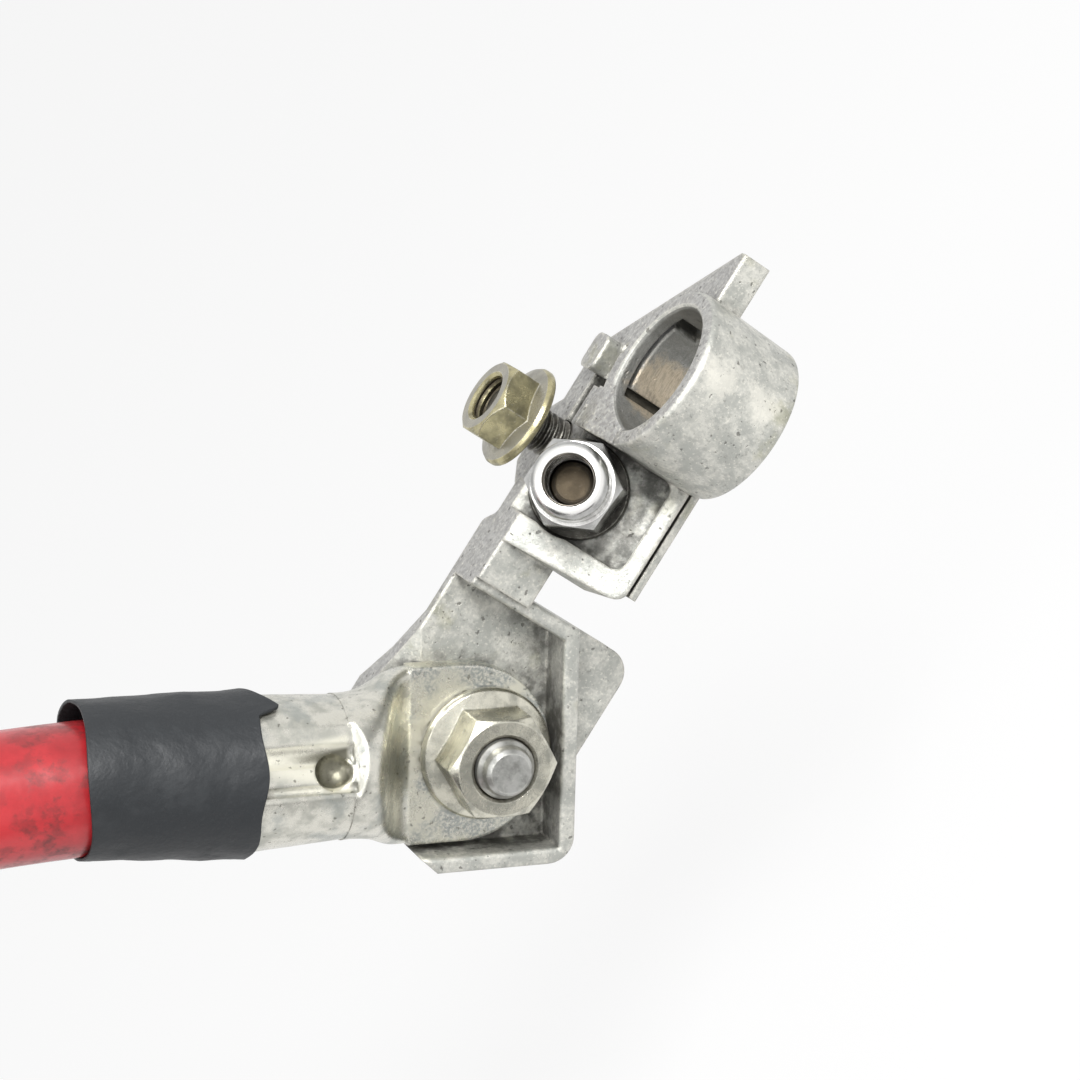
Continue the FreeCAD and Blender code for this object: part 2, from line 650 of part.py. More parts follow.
def sleeve_nut():
    """The long sleeve nut: hexagon below, round collar above, open mouth."""
    hex_part = hexagon(SLEEVE_ACROSS, SLEEVE_HEX_LENGTH)
    hex_part.rotate(Vector(0, 0, 0), Vector(0, 0, 1), SLEEVE_TURN)
    corner = SLEEVE_ACROSS / math.sqrt(3)
    crown = turned([(0, 0), (corner, 0), (corner, SLEEVE_HEX_LENGTH - 0.8),
                    (SLEEVE_ACROSS / 2 - 0.1, SLEEVE_HEX_LENGTH), (0, SLEEVE_HEX_LENGTH)])
    collar = Part.makeCylinder(SLEEVE_COLLAR_R, SLEEVE_LENGTH)
    collar = collar.makeFillet(COLLAR_ROUND, [e for e in collar.Edges if e.BoundBox.ZMin > 1])
    thread_r = SMALL_STUD_R + NUT_THREAD_CLEARANCE
    nut = hex_part.common(crown).fuse(collar)
    nut = nut.cut(rod(Vector(0, 0, -1), Vector(0, 0, 1), thread_r, SLEEVE_LENGTH + 2))
    mouth_depth = SLEEVE_LENGTH - (SMALL_STUD_REACH - WASHER_THICK)
    nut = nut.cut(rod(Vector(0, 0, SLEEVE_LENGTH - mouth_depth), Vector(0, 0, 1),
                      SLEEVE_MOUTH_R, mouth_depth + 1))
    mouth = [
        e for e in nut.Edges
        if e.BoundBox.ZMin > SLEEVE_LENGTH - 0.01 and e.BoundBox.XMax < SLEEVE_MOUTH_R + 0.01
    ]
    return on_ear(nut.makeFillet(MOUTH_ROUND, mouth), WASHER_THICK + NUT_SEAT_GAP)


def big_stud():
    """The stud for the cable lug, pressed in from the back, with a plain tip."""
    back = PLATE_PAD_BACK
    front = BIG_NUT_SEAT - NUT_SEAT_GAP - M8_HEIGHT - BIG_STUD_TIP
    outline = [
        (0, 0), (STUD_HEAD_R, 0), (STUD_HEAD_R, STUD_HEAD_THICK), (BIG_STUD_R, STUD_HEAD_THICK),
        (BIG_STUD_R, back - front - 2.0), (TIP_R + 0.3, back - front - 1.4), (TIP_R, back - front - 0.5),
        (TIP_R - 0.5, back - front), (0, back - front),
    ]
    return placed(turned(outline), Vector(BIG_STUD_X, back, BIG_STUD_Z), Vector(1, 0, 0),
                  Vector(0, -1, 0))


def lug_nut():
    """The flange nut that holds the lug."""
    nut = flange_nut(BIG_STUD_R + NUT_THREAD_CLEARANCE, M8_ACROSS, M8_FLANGE_R, M8_HEIGHT)
    nut.rotate(Vector(0, 0, 0), Vector(0, 0, 1), LUG_NUT_TURN)
    return placed(nut, Vector(BIG_STUD_X, BIG_NUT_SEAT - NUT_SEAT_GAP, BIG_STUD_Z), Vector(1, 0, 0),
                  Vector(0, -1, 0))


def oval(t, width, height, radius, depth):
    """A rounded section across the cable: eight edges, at t along it and centred at a depth."""
    w = width / 2 - radius
    h = height / 2 - radius
    far = math.sqrt(0.5) * radius

    def spot(across, deep):
        return Vector(t, across, depth + deep)

    def arc(cw, ch, sw, sh):
        first = spot(cw + sw * radius, ch) if sw * sh > 0 else spot(cw, ch + sh * radius)
        last = spot(cw, ch + sh * radius) if sw * sh > 0 else spot(cw + sw * radius, ch)
        return Part.Arc(first, spot(cw + sw * far, ch + sh * far), last).toShape()

    arcs = [arc(w, h, 1, 1), arc(-w, h, -1, 1), arc(-w, -h, -1, -1), arc(w, -h, 1, -1)]
    edges = []
    for i, piece in enumerate(arcs):
        after = arcs[(i + 1) % 4]
        edges += [piece, Part.LineSegment(piece.lastVertex(True).Point,
                                          after.firstVertex(True).Point).toShape()]
    return Part.Wire(edges)


def lug_outside(depth_of_axis):
    """The lug's outside in its own frame: flat palm, swelling neck and flared barrel."""
    centre = PALM_WIDTH / 2 - PALM_TIP
    flat = box(centre, PALM_BACK, -PALM_WIDTH / 2, PALM_WIDTH / 2, -PALM_THICK, 0)
    tip = Part.makeCylinder(PALM_WIDTH / 2, PALM_THICK, Vector(centre, 0, -PALM_THICK))
    tip = tip.common(box(-OVER, centre, -OVER, OVER, -OVER, OVER))
    mid = -PALM_THICK / 2
    rest = depth_of_axis
    sections = [
        oval(PALM_BACK, PALM_WIDTH, PALM_THICK, 0.45 * PALM_THICK, mid),
        oval(PALM_BACK + 3.2, PALM_WIDTH - 1.2, 2.4 * PALM_THICK, 3.2, mid + 0.35 * (rest - mid)),
        oval(BARREL_START - 1.5, 2 * BARREL_R + 0.6, 2 * BARREL_R - 1.4, BARREL_R - 1.0,
             mid + 0.9 * (rest - mid)),
        oval(BARREL_START + 2.0, 2 * BARREL_R + 0.2, 2 * BARREL_R + 0.1, BARREL_R - 0.1, rest),
    ]
    swell = Part.makeLoft(sections, True)
    barrel = Part.makeCone(BARREL_R, BARREL_MOUTH_R, BARREL_END - BARREL_START - 2.0,
                           Vector(BARREL_START + 2.0, 0, rest), Vector(1, 0, 0))
    return flat.fuse([tip, swell, barrel])


def lug():
    """A crimped tube lug in its own frame: palm hole, barrel bore and crimp."""
    axis = BARREL_AXIS_DEPTH - PLATE_FLOOR
    body = lug_outside(axis)
    hole = rod(Vector(0, 0, -OVER), Vector(0, 0, 1), BIG_STUD_R + PALM_HOLE_CLEARANCE, 2 * OVER)
    bore = rod(Vector(BARREL_BORE_START, 0, axis), Vector(1, 0, 0), BARREL_BORE_R, OVER)
    return body.cut([hole, bore] + crimp(axis))


def crimp(axis):
    """What the crimp presses into the barrel: the flat, its two grooves and the dimple."""
    floor = axis - BARREL_R + CRIMP_FLAT_DEPTH
    run = BARREL_END - CRIMP_START
    flare = (BARREL_MOUTH_R - BARREL_R) / run
    flat = prism([
        Vector(CRIMP_START - 2.2, -OVER, floor - 2.2), Vector(CRIMP_START, -OVER, floor),
        Vector(BARREL_END + 1, -OVER, floor - flare * (run + 1)),
        Vector(BARREL_END + 1, -OVER, floor - OVER), Vector(CRIMP_START - 2.2, -OVER, floor - OVER),
    ], Vector(0, 2 * OVER, 0))
    tools = [flat]
    for across, half, depth in (WIDE_GROOVE, THIN_GROOVE):
        radius = (half * half + depth * depth) / (2 * depth)
        start = Vector(CRIMP_START, across, floor + depth - radius)
        tools.append(rod(start, Vector(1, 0, -flare), radius, run + 1))
    spot = Vector(DIMPLE_T, DIMPLE_W, floor + DIMPLE_DEPTH - DIMPLE_R)
    tools.append(Part.makeSphere(DIMPLE_R, spot))
    for tool in tools:
        tool.rotate(Vector(0, 0, axis), Vector(1, 0, 0), CRIMP_TURN)
    return tools


def lug_core():
    """The cable's bare strands, packed in the lug's barrel, in the lug's own frame."""
    axis = BARREL_AXIS_DEPTH - PLATE_FLOOR
    start = BARREL_BORE_START + CORE_CLEARANCE
    return rod(Vector(start, 0, axis), Vector(1, 0, 0), BARREL_BORE_R - CORE_CLEARANCE, BARREL_END - start)


def tape_wrap():
    """The tape round the lug's mouth and the cable, in the lug's own frame."""
    axis = BARREL_AXIS_DEPTH - PLATE_FLOOR
    end = TAPE_START + TAPE_LENGTH
    slope = (BARREL_MOUTH_R - BARREL_R) / (BARREL_END - BARREL_START - 2.0)
    first = BARREL_R + slope * (TAPE_START - BARREL_START - 2.0) + TAPE_CLEARANCE
    mouth = BARREL_MOUTH_R + TAPE_CLEARANCE
    inner = CABLE_R + TAPE_CLEARANCE
    outline = [
        (first, TAPE_START), (first + TAPE_THICK, TAPE_START), (mouth + TAPE_THICK, BARREL_END),
        (inner + TAPE_THICK + TAPE_BULGE, end), (inner, end), (inner, BARREL_END + 0.2),
        (mouth, BARREL_END + 0.2),
    ]
    return placed(turned(outline), Vector(0, 0, axis), Vector(0, 1, 0), Vector(1, 0, 0))


def cable_route():
    """The corners of the cable's centreline, from the lug barrel's mouth to its far end."""
    spots = []
    for t in (BARREL_END, BARREL_END + CABLE_FIRST_RUN):
        x, z = lug_point(t, 0)
        spots.append(Vector(x, BARREL_AXIS_DEPTH, z))
    for step in CABLE_STEPS:
        spots.append(spots[-1] + Vector(*step))
    return spots


def tangent_route(spots, share):
    """The route's path, its length and its bend radii: straight runs joined by tangent arcs."""
    edges, radii = [], []
    here = spots[0]
    for before, corner, after in zip(spots, spots[1:], spots[2:]):
        back = (before - corner).normalize()
        ahead = (after - corner).normalize()
        run = min(before.distanceToPoint(corner), corner.distanceToPoint(after))
        half_turn = (math.pi - back.getAngle(ahead)) / 2
        radius = share * run / math.tan(half_turn)
        start = corner + back * (share * run)
        end = corner + ahead * (share * run)
        bisector = (back + ahead).normalize()
        middle = corner + bisector * (radius / math.cos(half_turn) - radius)
        edges.append(Part.LineSegment(here, start).toShape())
        edges.append(Part.Arc(start, middle, end).toShape())
        radii.append(radius)
        here = end
    edges.append(Part.LineSegment(here, spots[-1]).toShape())
    return Part.Wire(edges), sum(e.Length for e in edges), radii


def cable():
    """The cable's outside along its route."""
    spots = cable_route()
    path, length, radii = tangent_route(spots, ARC_SHARE)
    ring_edge = Part.makeCircle(CABLE_R, spots[0], spots[1] - spots[0])
    tube = path.makePipeShell([Part.Wire([ring_edge])], True, False)
    expected = math.pi * CABLE_R ** 2 * length
    print("cable length", round(length, 1), "bend radii", [round(r, 1) for r in radii])
    print("cable corners", [tuple(round(v, 2) for v in spot) for spot in spots])
    print("cable volume over section times length", round(tube.Volume / expected, 4))
    return tube


def at_far_end(shape):
    """A shape from the lug's own frame, turned round onto the cable's far end."""
    spots = cable_route()
    end = spots[-1]
    inward = (spots[-2] - end).normalize()
    across = Vector(0, 1, 0)
    across = (across - inward * across.dot(inward)).normalize()
    axis = BARREL_AXIS_DEPTH - PLATE_FLOOR
    shape = shape.copy()
    shape.translate(Vector(-BARREL_END, 0, -axis))
    return placed(shape, end, inward, across)


def far_sleeve():
    """The shrunk sleeve over the far lug's mouth and the cable, in the lug's own frame."""
    axis = BARREL_AXIS_DEPTH - PLATE_FLOOR
    start = BARREL_END - 9.0
    slope = (BARREL_MOUTH_R - BARREL_R) / (BARREL_END - BARREL_START - 2.0)
    first = BARREL_R + slope * (start - BARREL_START - 2.0) + TAPE_CLEARANCE
    mouth = BARREL_MOUTH_R + TAPE_CLEARANCE
    inner = CABLE_R + TAPE_CLEARANCE
    end = start + FAR_SLEEVE_LENGTH
    wall = FAR_SLEEVE_WALL
    outline = [
        (first, start), (first + wall, start), (mouth + wall, BARREL_END), (inner + wall, BARREL_END + 4),
        (inner + wall, end), (inner, end), (inner, BARREL_END + 0.2), (mouth, BARREL_END + 0.2),
    ]
    return placed(turned(outline), Vector(0, 0, axis), Vector(0, 1, 0), Vector(1, 0, 0))


def main():
    """Every piece, each to a file named for its node."""
    os.makedirs("parts", exist_ok=True)
    pieces = {
        "clamp_body": clamp_body(),
        "clamp_screw": clamp_screw(),
        "clamp_yoke": clamp_yoke(),
        "clamp_nut": clamp_nut(),
        "accessory_stud": accessory_stud(),
        "accessory_washer": accessory_washer(),
        "sleeve_nut": sleeve_nut(),
        "big_stud": big_stud(),
        "lug_nut": lug_nut(),
        "cable_lug": in_lug_frame(lug(), PLATE_FLOOR),
        "lug_core": in_lug_frame(lug_core(), PLATE_FLOOR),
        "tape_wrap": in_lug_frame(tape_wrap(), PLATE_FLOOR),
        "cable": cable(),
        "far_sleeve": at_far_end(far_sleeve()),
        "far_core": at_far_end(lug_core()),
        "far_lug": at_far_end(lug()),
    }
    for name, shape in pieces.items():
        box_of = shape.BoundBox
        print(name, "solids", len(shape.Solids), "valid", shape.isValid(), "volume", round(shape.Volume, 1),
              [round(v, 1) for v in (box_of.XMin, box_of.XMax, box_of.YMin, box_of.YMax, box_of.ZMin,
                                     box_of.ZMax)])
        shape.exportStep(f"parts/{name}.step")


main()
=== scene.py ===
"""A battery post clamp with its crimped lug and cable, dressed and lit around the fixed CAD frame."""

import logging
import math
from dataclasses import dataclass, field
from enum import Enum
from typing import Any, Callable

import bmesh
import bpy
from mathutils import Matrix, Vector, noise

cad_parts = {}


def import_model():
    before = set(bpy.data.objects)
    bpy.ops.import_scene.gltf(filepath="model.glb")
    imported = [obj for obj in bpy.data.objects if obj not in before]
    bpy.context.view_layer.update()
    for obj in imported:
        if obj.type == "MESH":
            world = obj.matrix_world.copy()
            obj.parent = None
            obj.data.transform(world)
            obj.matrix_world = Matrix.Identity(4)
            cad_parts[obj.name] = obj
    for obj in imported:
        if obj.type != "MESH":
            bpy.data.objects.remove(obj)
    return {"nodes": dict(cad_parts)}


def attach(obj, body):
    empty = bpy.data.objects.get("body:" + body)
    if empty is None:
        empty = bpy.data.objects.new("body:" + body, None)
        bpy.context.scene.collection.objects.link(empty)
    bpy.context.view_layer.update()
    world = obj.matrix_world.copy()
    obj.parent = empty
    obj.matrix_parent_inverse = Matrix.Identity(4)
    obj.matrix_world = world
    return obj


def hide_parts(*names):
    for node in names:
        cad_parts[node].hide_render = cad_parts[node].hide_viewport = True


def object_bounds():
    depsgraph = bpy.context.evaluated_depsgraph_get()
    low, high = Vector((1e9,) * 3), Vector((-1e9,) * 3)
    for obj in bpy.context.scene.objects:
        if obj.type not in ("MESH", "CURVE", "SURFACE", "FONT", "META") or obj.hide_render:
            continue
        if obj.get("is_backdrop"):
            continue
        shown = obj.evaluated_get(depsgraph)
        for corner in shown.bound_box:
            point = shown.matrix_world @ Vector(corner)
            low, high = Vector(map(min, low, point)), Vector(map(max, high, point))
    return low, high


LOG = logging.getLogger("battery_clamp")
MM = 0.001

Colour = tuple[float, float, float]
Point = tuple[float, float, float]


class Body(str, Enum):
    """The rigid bodies of the frame that pieces ride on."""

    CLAMP = "clamp"
    SCREW = "screw_and_yoke"
    CLAMP_NUT = "clamp_nut"
    SLEEVE_NUT = "sleeve_nut"
    LUG_NUT = "lug_nut"


class Ray(str, Enum):
    """The kinds of ray that see the studio's background colour."""

    CAMERA = "Is Camera Ray"
    GLOSSY = "Is Glossy Ray"
    TRANSMISSION = "Is Transmission Ray"


def srgb(red: int, green: int, blue: int) -> Colour:
    """A colour as it looks on screen, from 0 to 255, turned to linear light.

    Args:
        red: The red part.
        green: The green part.
        blue: The blue part.

    Returns:
        The three linear parts, from 0 to 1.
    """
    parts = [value / 255 for value in (red, green, blue)]
    linear = [p / 12.92 if p <= 0.04045 else ((p + 0.055) / 1.055) ** 2.4 for p in parts]
    return (linear[0], linear[1], linear[2])


def in_metres(place: Point) -> Point:
    """A place or size that is written in millimetres, in metres."""
    return (place[0] * MM, place[1] * MM, place[2] * MM)


class Graph:
    """A short way to add and join nodes in one shader tree."""

    def __init__(self, tree: bpy.types.NodeTree) -> None:
        """Keeps the tree that nodes are added to."""
        self.tree = tree

    def add(self, kind: str, sockets: dict[str, Any] | None = None, **settings: Any) -> bpy.types.Node:
        """Adds a node, sets its options and fills or joins its inputs.

        Args:
            kind: The node's type name, without its ShaderNode prefix.
            sockets: Input names, each with a value or with a socket to join.
            settings: The node's own options.

        Returns:
            The new node.
        """
        node = self.tree.nodes.new("ShaderNode" + kind)
        for name, value in settings.items():
            setattr(node, name, value)
        for name, value in (sockets or {}).items():
            self.feed(node.inputs[name], value)
        return node

    def feed(self, target: bpy.types.NodeSocket, value: Any) -> None:
        """Joins a socket to an input, or sets the input's value.

        Args:
            target: The input.
            value: A socket, a colour, a vector or a number.
        """
        if isinstance(value, bpy.types.NodeSocket):
            self.tree.links.new(value, target)
        elif isinstance(value, tuple) and target.type == "RGBA":
            target.default_value = (*value, 1.0)
        else:
            target.default_value = value

    def math(
        self, operation: str, first: Any, second: Any = 0.0, clamp: bool = False
    ) -> bpy.types.NodeSocket:
        """One step of arithmetic on two values.

        Args:
            operation: The Math node's operation.
            first: The first value or socket.
            second: The second value or socket.
            clamp: Whether the result is held from 0 to 1.

        Returns:
            The result's socket.
        """
        node = self.add("Math", operation=operation, use_clamp=clamp)
        self.feed(node.inputs[0], first)
        self.feed(node.inputs[1], second)
        return node.outputs[0]

    def span(
        self, value: Any, low: Any, high: Any, start: float = 0.0, end: float = 1.0
    ) -> bpy.types.NodeSocket:
        """Maps a stretch of values smoothly onto another.

        Args:
            value: The socket to map.
            low: Where the stretch begins.
            high: Where the stretch ends.
            start: The result at low.
            end: The result at high.

        Returns:
            The result's socket.
        """
        node = self.add("MapRange", {"Value": value, "From Min": low, "From Max": high,
                                     "To Min": start, "To Max": end}, interpolation_type="SMOOTHSTEP")
        return node.outputs["Result"]

    def tint(self, factor: Any, under: Any, over: Any, blend: str = "MIX") -> bpy.types.NodeSocket:
        """Lays one colour over another.

        Args:
            factor: How much of the upper colour shows.
            under: The colour below.
            over: The colour above.
            blend: The blend mode.

        Returns:
            The mixed colour's socket.
        """
        node = self.add("Mix", data_type="RGBA", blend_type=blend)
        self.feed(node.inputs[0], factor)
        self.feed(node.inputs[6], under)
        self.feed(node.inputs[7], over)
        return node.outputs[2]

    def between(self, factor: Any, under: Any, over: Any) -> bpy.types.NodeSocket:
        """A value between two others.

        Args:
            factor: Where between them, from 0 to 1.
            under: The value at 0.
            over: The value at 1.

        Returns:
            The value's socket.
        """
        node = self.add("Mix", data_type="FLOAT")
        self.feed(node.inputs[0], factor)
        self.feed(node.inputs[2], under)
        self.feed(node.inputs[3], over)
        return node.outputs[0]

    def place(self, scale: Point = (1, 1, 1), shift: Point = (0, 0, 0)) -> bpy.types.NodeSocket:
        """Object coordinates in millimetres, scaled and shifted.

        Args:
            scale: The scale along each axis.
            shift: What is added after scaling.

        Returns:
            The coordinates' socket.
        """
        where = self.add("TexCoord").outputs["Object"]
        wide = self.add("Mapping", {"Vector": where, "Scale": tuple(1000 * s for s in scale),
                                    "Location": shift})
        return wide.outputs["Vector"]

    def noise(
        self, vector: Any, scale: Any, detail: float = 4.0, rough: float = 0.6
    ) -> bpy.types.NodeSocket:
        """A fractal noise value at a place.

        Args:
            vector: The coordinates' socket.
            scale: Features for each millimetre.
            detail: The number of octaves.
            rough: How strong the finer octaves are.

        Returns:
            The noise value's socket.
        """
        node = self.add("TexNoise", {"Vector": vector, "Scale": scale, "Detail": detail,
                                     "Roughness": rough})
        return node.outputs["Fac"]


@dataclass(frozen=True)
class Effect:
    """A shared shader node group: its name, its inputs with their usual values, and its outputs."""

    name: str
    inputs: dict[str, tuple[str, Any]]
    outputs: dict[str, str]
    build: Callable[[Graph, Any, Any], None]

    def group(self) -> bpy.types.NodeTree:
        """Builds the group the first time, and gives the same one after that.

        Returns:
            The node group.
        """
        found = bpy.data.node_groups.get(self.name)
        if found:
            return found
        tree = bpy.data.node_groups.new(self.name, "ShaderNodeTree")
        for name, (kind, value) in self.inputs.items():
            socket = tree.interface.new_socket(name, in_out="INPUT", socket_type=kind)
            socket.default_value = value
        for name, kind in self.outputs.items():
            tree.interface.new_socket(name, in_out="OUTPUT", socket_type=kind)
        graph = Graph(tree)
        source = tree.nodes.new("NodeGroupInput").outputs
        target = tree.nodes.new("NodeGroupOutput").inputs
        self.build(graph, source, target)
        return tree

    def use(self, graph: Graph, **values: Any) -> bpy.types.Node:
        """Places the group in a material.

        Args:
            graph: The material's tree.
            values: The group's inputs by name, with _ for a space.

        Returns:
            The group's node.
        """
        node = graph.add("Group", node_tree=self.group())
        for name, value in values.items():
            graph.feed(node.inputs[name.replace("_", " ").capitalize()], value)
        return node


FLOAT = "NodeSocketFloat"
VECTOR = "NodeSocketVector"


def build_grime(graph: Graph, source: Any, target: Any) -> None:
    """Cloudy patches: a fractal noise cut at two levels.

    Args:
        graph: The group's graph.
        source: The group's inputs.
        target: The group's outputs.
    """
    where = graph.place()
    moved = graph.add("VectorMath", {0: where}, operation="ADD")
    graph.feed(moved.inputs[1], source["Seed"])
    value = graph.noise(moved.outputs[0], source["Scale"], 6.0, 0.62)
    graph.feed(target["Mask"], graph.span(value, source["Low"], source["High"]))


def build_worn_edges(graph: Graph, source: Any, target: Any) -> None:
    """Edges found by how far a rounded normal leans from the true one, broken up by noise.

    Args:
        graph: The group's graph.
        source: The group's inputs.
        target: The group's outputs.
    """
    soft = graph.add("Bevel", {"Radius": source["Radius"]}, samples=6).outputs["Normal"]
    true = graph.add("NewGeometry").outputs["Normal"]
    lean = graph.add("VectorMath", {0: soft, 1: true}, operation="DOT_PRODUCT").outputs["Value"]
    bend = graph.math("SUBTRACT", 1.0, lean, clamp=True)
    edge = graph.span(bend, 0.015, 0.13)
    patchy = graph.span(graph.noise(graph.place(), source["Scale"], 5.0, 0.65), 0.36, 0.6, 0.15, 1.0)
    mask = graph.math("MULTIPLY", edge, patchy, clamp=True)
    graph.feed(target["Mask"], graph.math("MULTIPLY", mask, source["Amount"], clamp=True))
    graph.feed(target["Normal"], soft)


def build_crevice_dirt_and_shade(graph: Graph, source: Any, target: Any) -> None:
    """Dirt and painted shade where surfaces close in on each other, found by ambient occlusion and broken
    up by noise.

    Args:
        graph: The group's graph.
        source: The group's inputs.
        target: The group's outputs.
    """
    # Ambient occlusion finds the hollows; the mask darkens them as dirt and as painted shade.
    open_sky = graph.add("AmbientOcclusion", {"Distance": source["Reach"]}, samples=8).outputs["AO"]
    hidden = graph.math("SUBTRACT", 1.0, open_sky, clamp=True)
    patchy = graph.span(graph.noise(graph.place(), source["Scale"], 5.0, 0.6), 0.3, 0.7, 0.35, 1.0)
    mask = graph.span(graph.math("MULTIPLY", hidden, patchy), 0.08, 0.6)
    graph.feed(target["Mask"], graph.math("MULTIPLY", mask, source["Amount"], clamp=True))


def build_pits(graph: Graph, source: Any, target: Any) -> None:
    """Scattered small round pits of uneven size.

    Args:
        graph: The group's graph.
        source: The group's inputs.
        target: The group's outputs.
    """
    where = graph.place()
    bent = graph.add("TexNoise", {"Vector": where, "Scale": 1.4, "Detail": 3.0}).outputs["Color"]
    vector = graph.add("VectorMath", {0: bent, 1: where}, operation="ADD").outputs[0]
    cells = graph.add("TexVoronoi", {"Vector": vector, "Scale": source["Scale"]})
    size = graph.add("SeparateColor", {"Color": cells.outputs["Color"]}).outputs["Red"]
    reach = graph.math("MULTIPLY", graph.math("POWER", size, 9.0), source["Size"])
    mask = graph.span(graph.math("SUBTRACT", reach, cells.outputs["Distance"]), 0.0, 0.12)
    graph.feed(target["Mask"], mask)


def build_scratches(graph: Graph, source: Any, target: Any) -> None:
    """Thin streaks along one direction, from noise that is drawn out.

    Args:
        graph: The group's graph.
        source: The group's inputs.
        target: The group's outputs.
    """
    turned = graph.add("VectorRotate", {"Vector": graph.place(), "Axis": (0, 0, 1),
                                        "Angle": source["Turn"]})
    long = graph.add("VectorMath", {0: turned.outputs[0], 1: (0.25, 5.0, 5.0)}, operation="MULTIPLY")
    fine = graph.noise(long.outputs[0], source["Scale"], 3.0, 0.7)
    graph.feed(target["Mask"], graph.span(fine, source["Low"], graph.math("ADD", source["Low"], 0.07)))


def build_thread(graph: Graph, source: Any, target: Any) -> None:
    """Ridges across an axis: sharp rings within a reach of it, and where they are.

    Args:
        graph: The group's graph.
        source: The group's inputs.
        target: The group's outputs.
    """
    from_point = graph.add("VectorMath", {0: graph.place()}, operation="SUBTRACT")
    graph.feed(from_point.inputs[1], source["Point"])
    along = graph.add("VectorMath", {0: from_point.outputs[0]}, operation="DOT_PRODUCT")
    graph.feed(along.inputs[1], source["Axis"])
    run = along.outputs["Value"]
    core = graph.add("VectorMath", operation="SCALE")
    graph.feed(core.inputs[0], source["Axis"])
    graph.feed(core.inputs["Scale"], run)
    aside = graph.add("VectorMath", {0: from_point.outputs[0], 1: core.outputs[0]}, operation="SUBTRACT")
    away = graph.add("VectorMath", {0: aside.outputs[0]}, operation="LENGTH").outputs["Value"]
    near = graph.math("LESS_THAN", away, source["Reach"])
    ridge = graph.math("PINGPONG", graph.math("DIVIDE", run, source["Pitch"]), 0.5)
    graph.feed(target["Height"], graph.math("MULTIPLY", graph.math("MULTIPLY", ridge, 2.0), near))
    graph.feed(target["Near"], near)
    graph.feed(target["Along"], run)
    graph.feed(target["Away"], away)


def build_grain(graph: Graph, source: Any, target: Any) -> None:
    """An uneven skin: broad swells with fine grit on them.

    Args:
        graph: The group's graph.
        source: The group's inputs.
        target: The group's outputs.
    """
    where = graph.place()
    broad = graph.noise(where, source["Scale"], 3.0, 0.5)
    grit = graph.noise(where, graph.math("MULTIPLY", source["Scale"], 6.0), 4.0, 0.7)
    graph.feed(target["Height"], graph.between(source["Grit"], broad, grit))


GRIME = Effect("Grime", {"Scale": (FLOAT, 0.3), "Low": (FLOAT, 0.5), "High": (FLOAT, 0.7),
                         "Seed": (VECTOR, (0, 0, 0))}, {"Mask": FLOAT}, build_grime)
WORN_EDGES = Effect("Worn edges",
                    {"Radius": (FLOAT, 0.0005), "Scale": (FLOAT, 0.8), "Amount": (FLOAT, 1.0)},
                    {"Mask": FLOAT, "Normal": VECTOR}, build_worn_edges)
# Crevice darkening: dirt, and painted shade where surfaces close in.
CREVICE_DIRT_AND_SHADE = Effect("Crevice grime and painted shade", {"Reach": (FLOAT, 0.003), "Scale": (FLOAT, 0.8), "Amount": (FLOAT, 1.0)},
                 {"Mask": FLOAT}, build_crevice_dirt_and_shade)
PITS = Effect("Pits", {"Scale": (FLOAT, 0.5), "Size": (FLOAT, 0.4)}, {"Mask": FLOAT}, build_pits)
SCRATCHES = Effect("Scratches", {"Scale": (FLOAT, 0.8), "Low": (FLOAT, 0.6), "Turn": (FLOAT, 0.0)},
                   {"Mask": FLOAT}, build_scratches)
THREAD = Effect("Thread", {"Point": (VECTOR, (0, 0, 0)), "Axis": (VECTOR, (0, 0, 1)),
                           "Pitch": (FLOAT, 1.0), "Reach": (FLOAT, 3.2)},
                {"Height": FLOAT, "Near": FLOAT, "Along": FLOAT, "Away": FLOAT}, build_thread)
GRAIN = Effect("Grain", {"Scale": (FLOAT, 0.5), "Grit": (FLOAT, 0.4)}, {"Height": FLOAT}, build_grain)


def new_material(name: str) -> tuple[bpy.types.Material, Graph, bpy.types.NodeSocket]:
    """An empty material.

    Args:
        name: The material's name.

    Returns:
        The material, its graph, and the socket that its surface goes into.
    """
    made = bpy.data.materials.new(name)
    made.use_nodes = True
    made.node_tree.nodes.clear()
    graph = Graph(made.node_tree)
    return made, graph, graph.add("OutputMaterial").inputs["Surface"]


class Finish:
    """A material with its own name, built on one Principled surface."""

    name = "finish"

    def build(self, graph: Graph, shader: bpy.types.Node) -> None:
        """Fills in the surface; each finish has its own."""
        raise NotImplementedError

    def material(self) -> bpy.types.Material:
        """Builds the material the first time, and gives the same one after that.

        Returns:
            The material.
        """
        label = "finish_" + self.name
        found = bpy.data.materials.get(label)
        if found:
            return found
        made, graph, surface = new_material(label)
        shader = graph.add("BsdfPrincipled")
        graph.feed(surface, shader.outputs["BSDF"])
        self.build(graph, shader)
        return made

    def dress(self, thing: bpy.types.Object) -> None:
        """Puts the material on a piece, in all its slots.

        Args:
            thing: The piece.
        """
        if not thing.data.materials:
            thing.data.materials.append(self.material())
        for index in range(len(thing.data.materials)):
            thing.data.materials[index] = self.material()


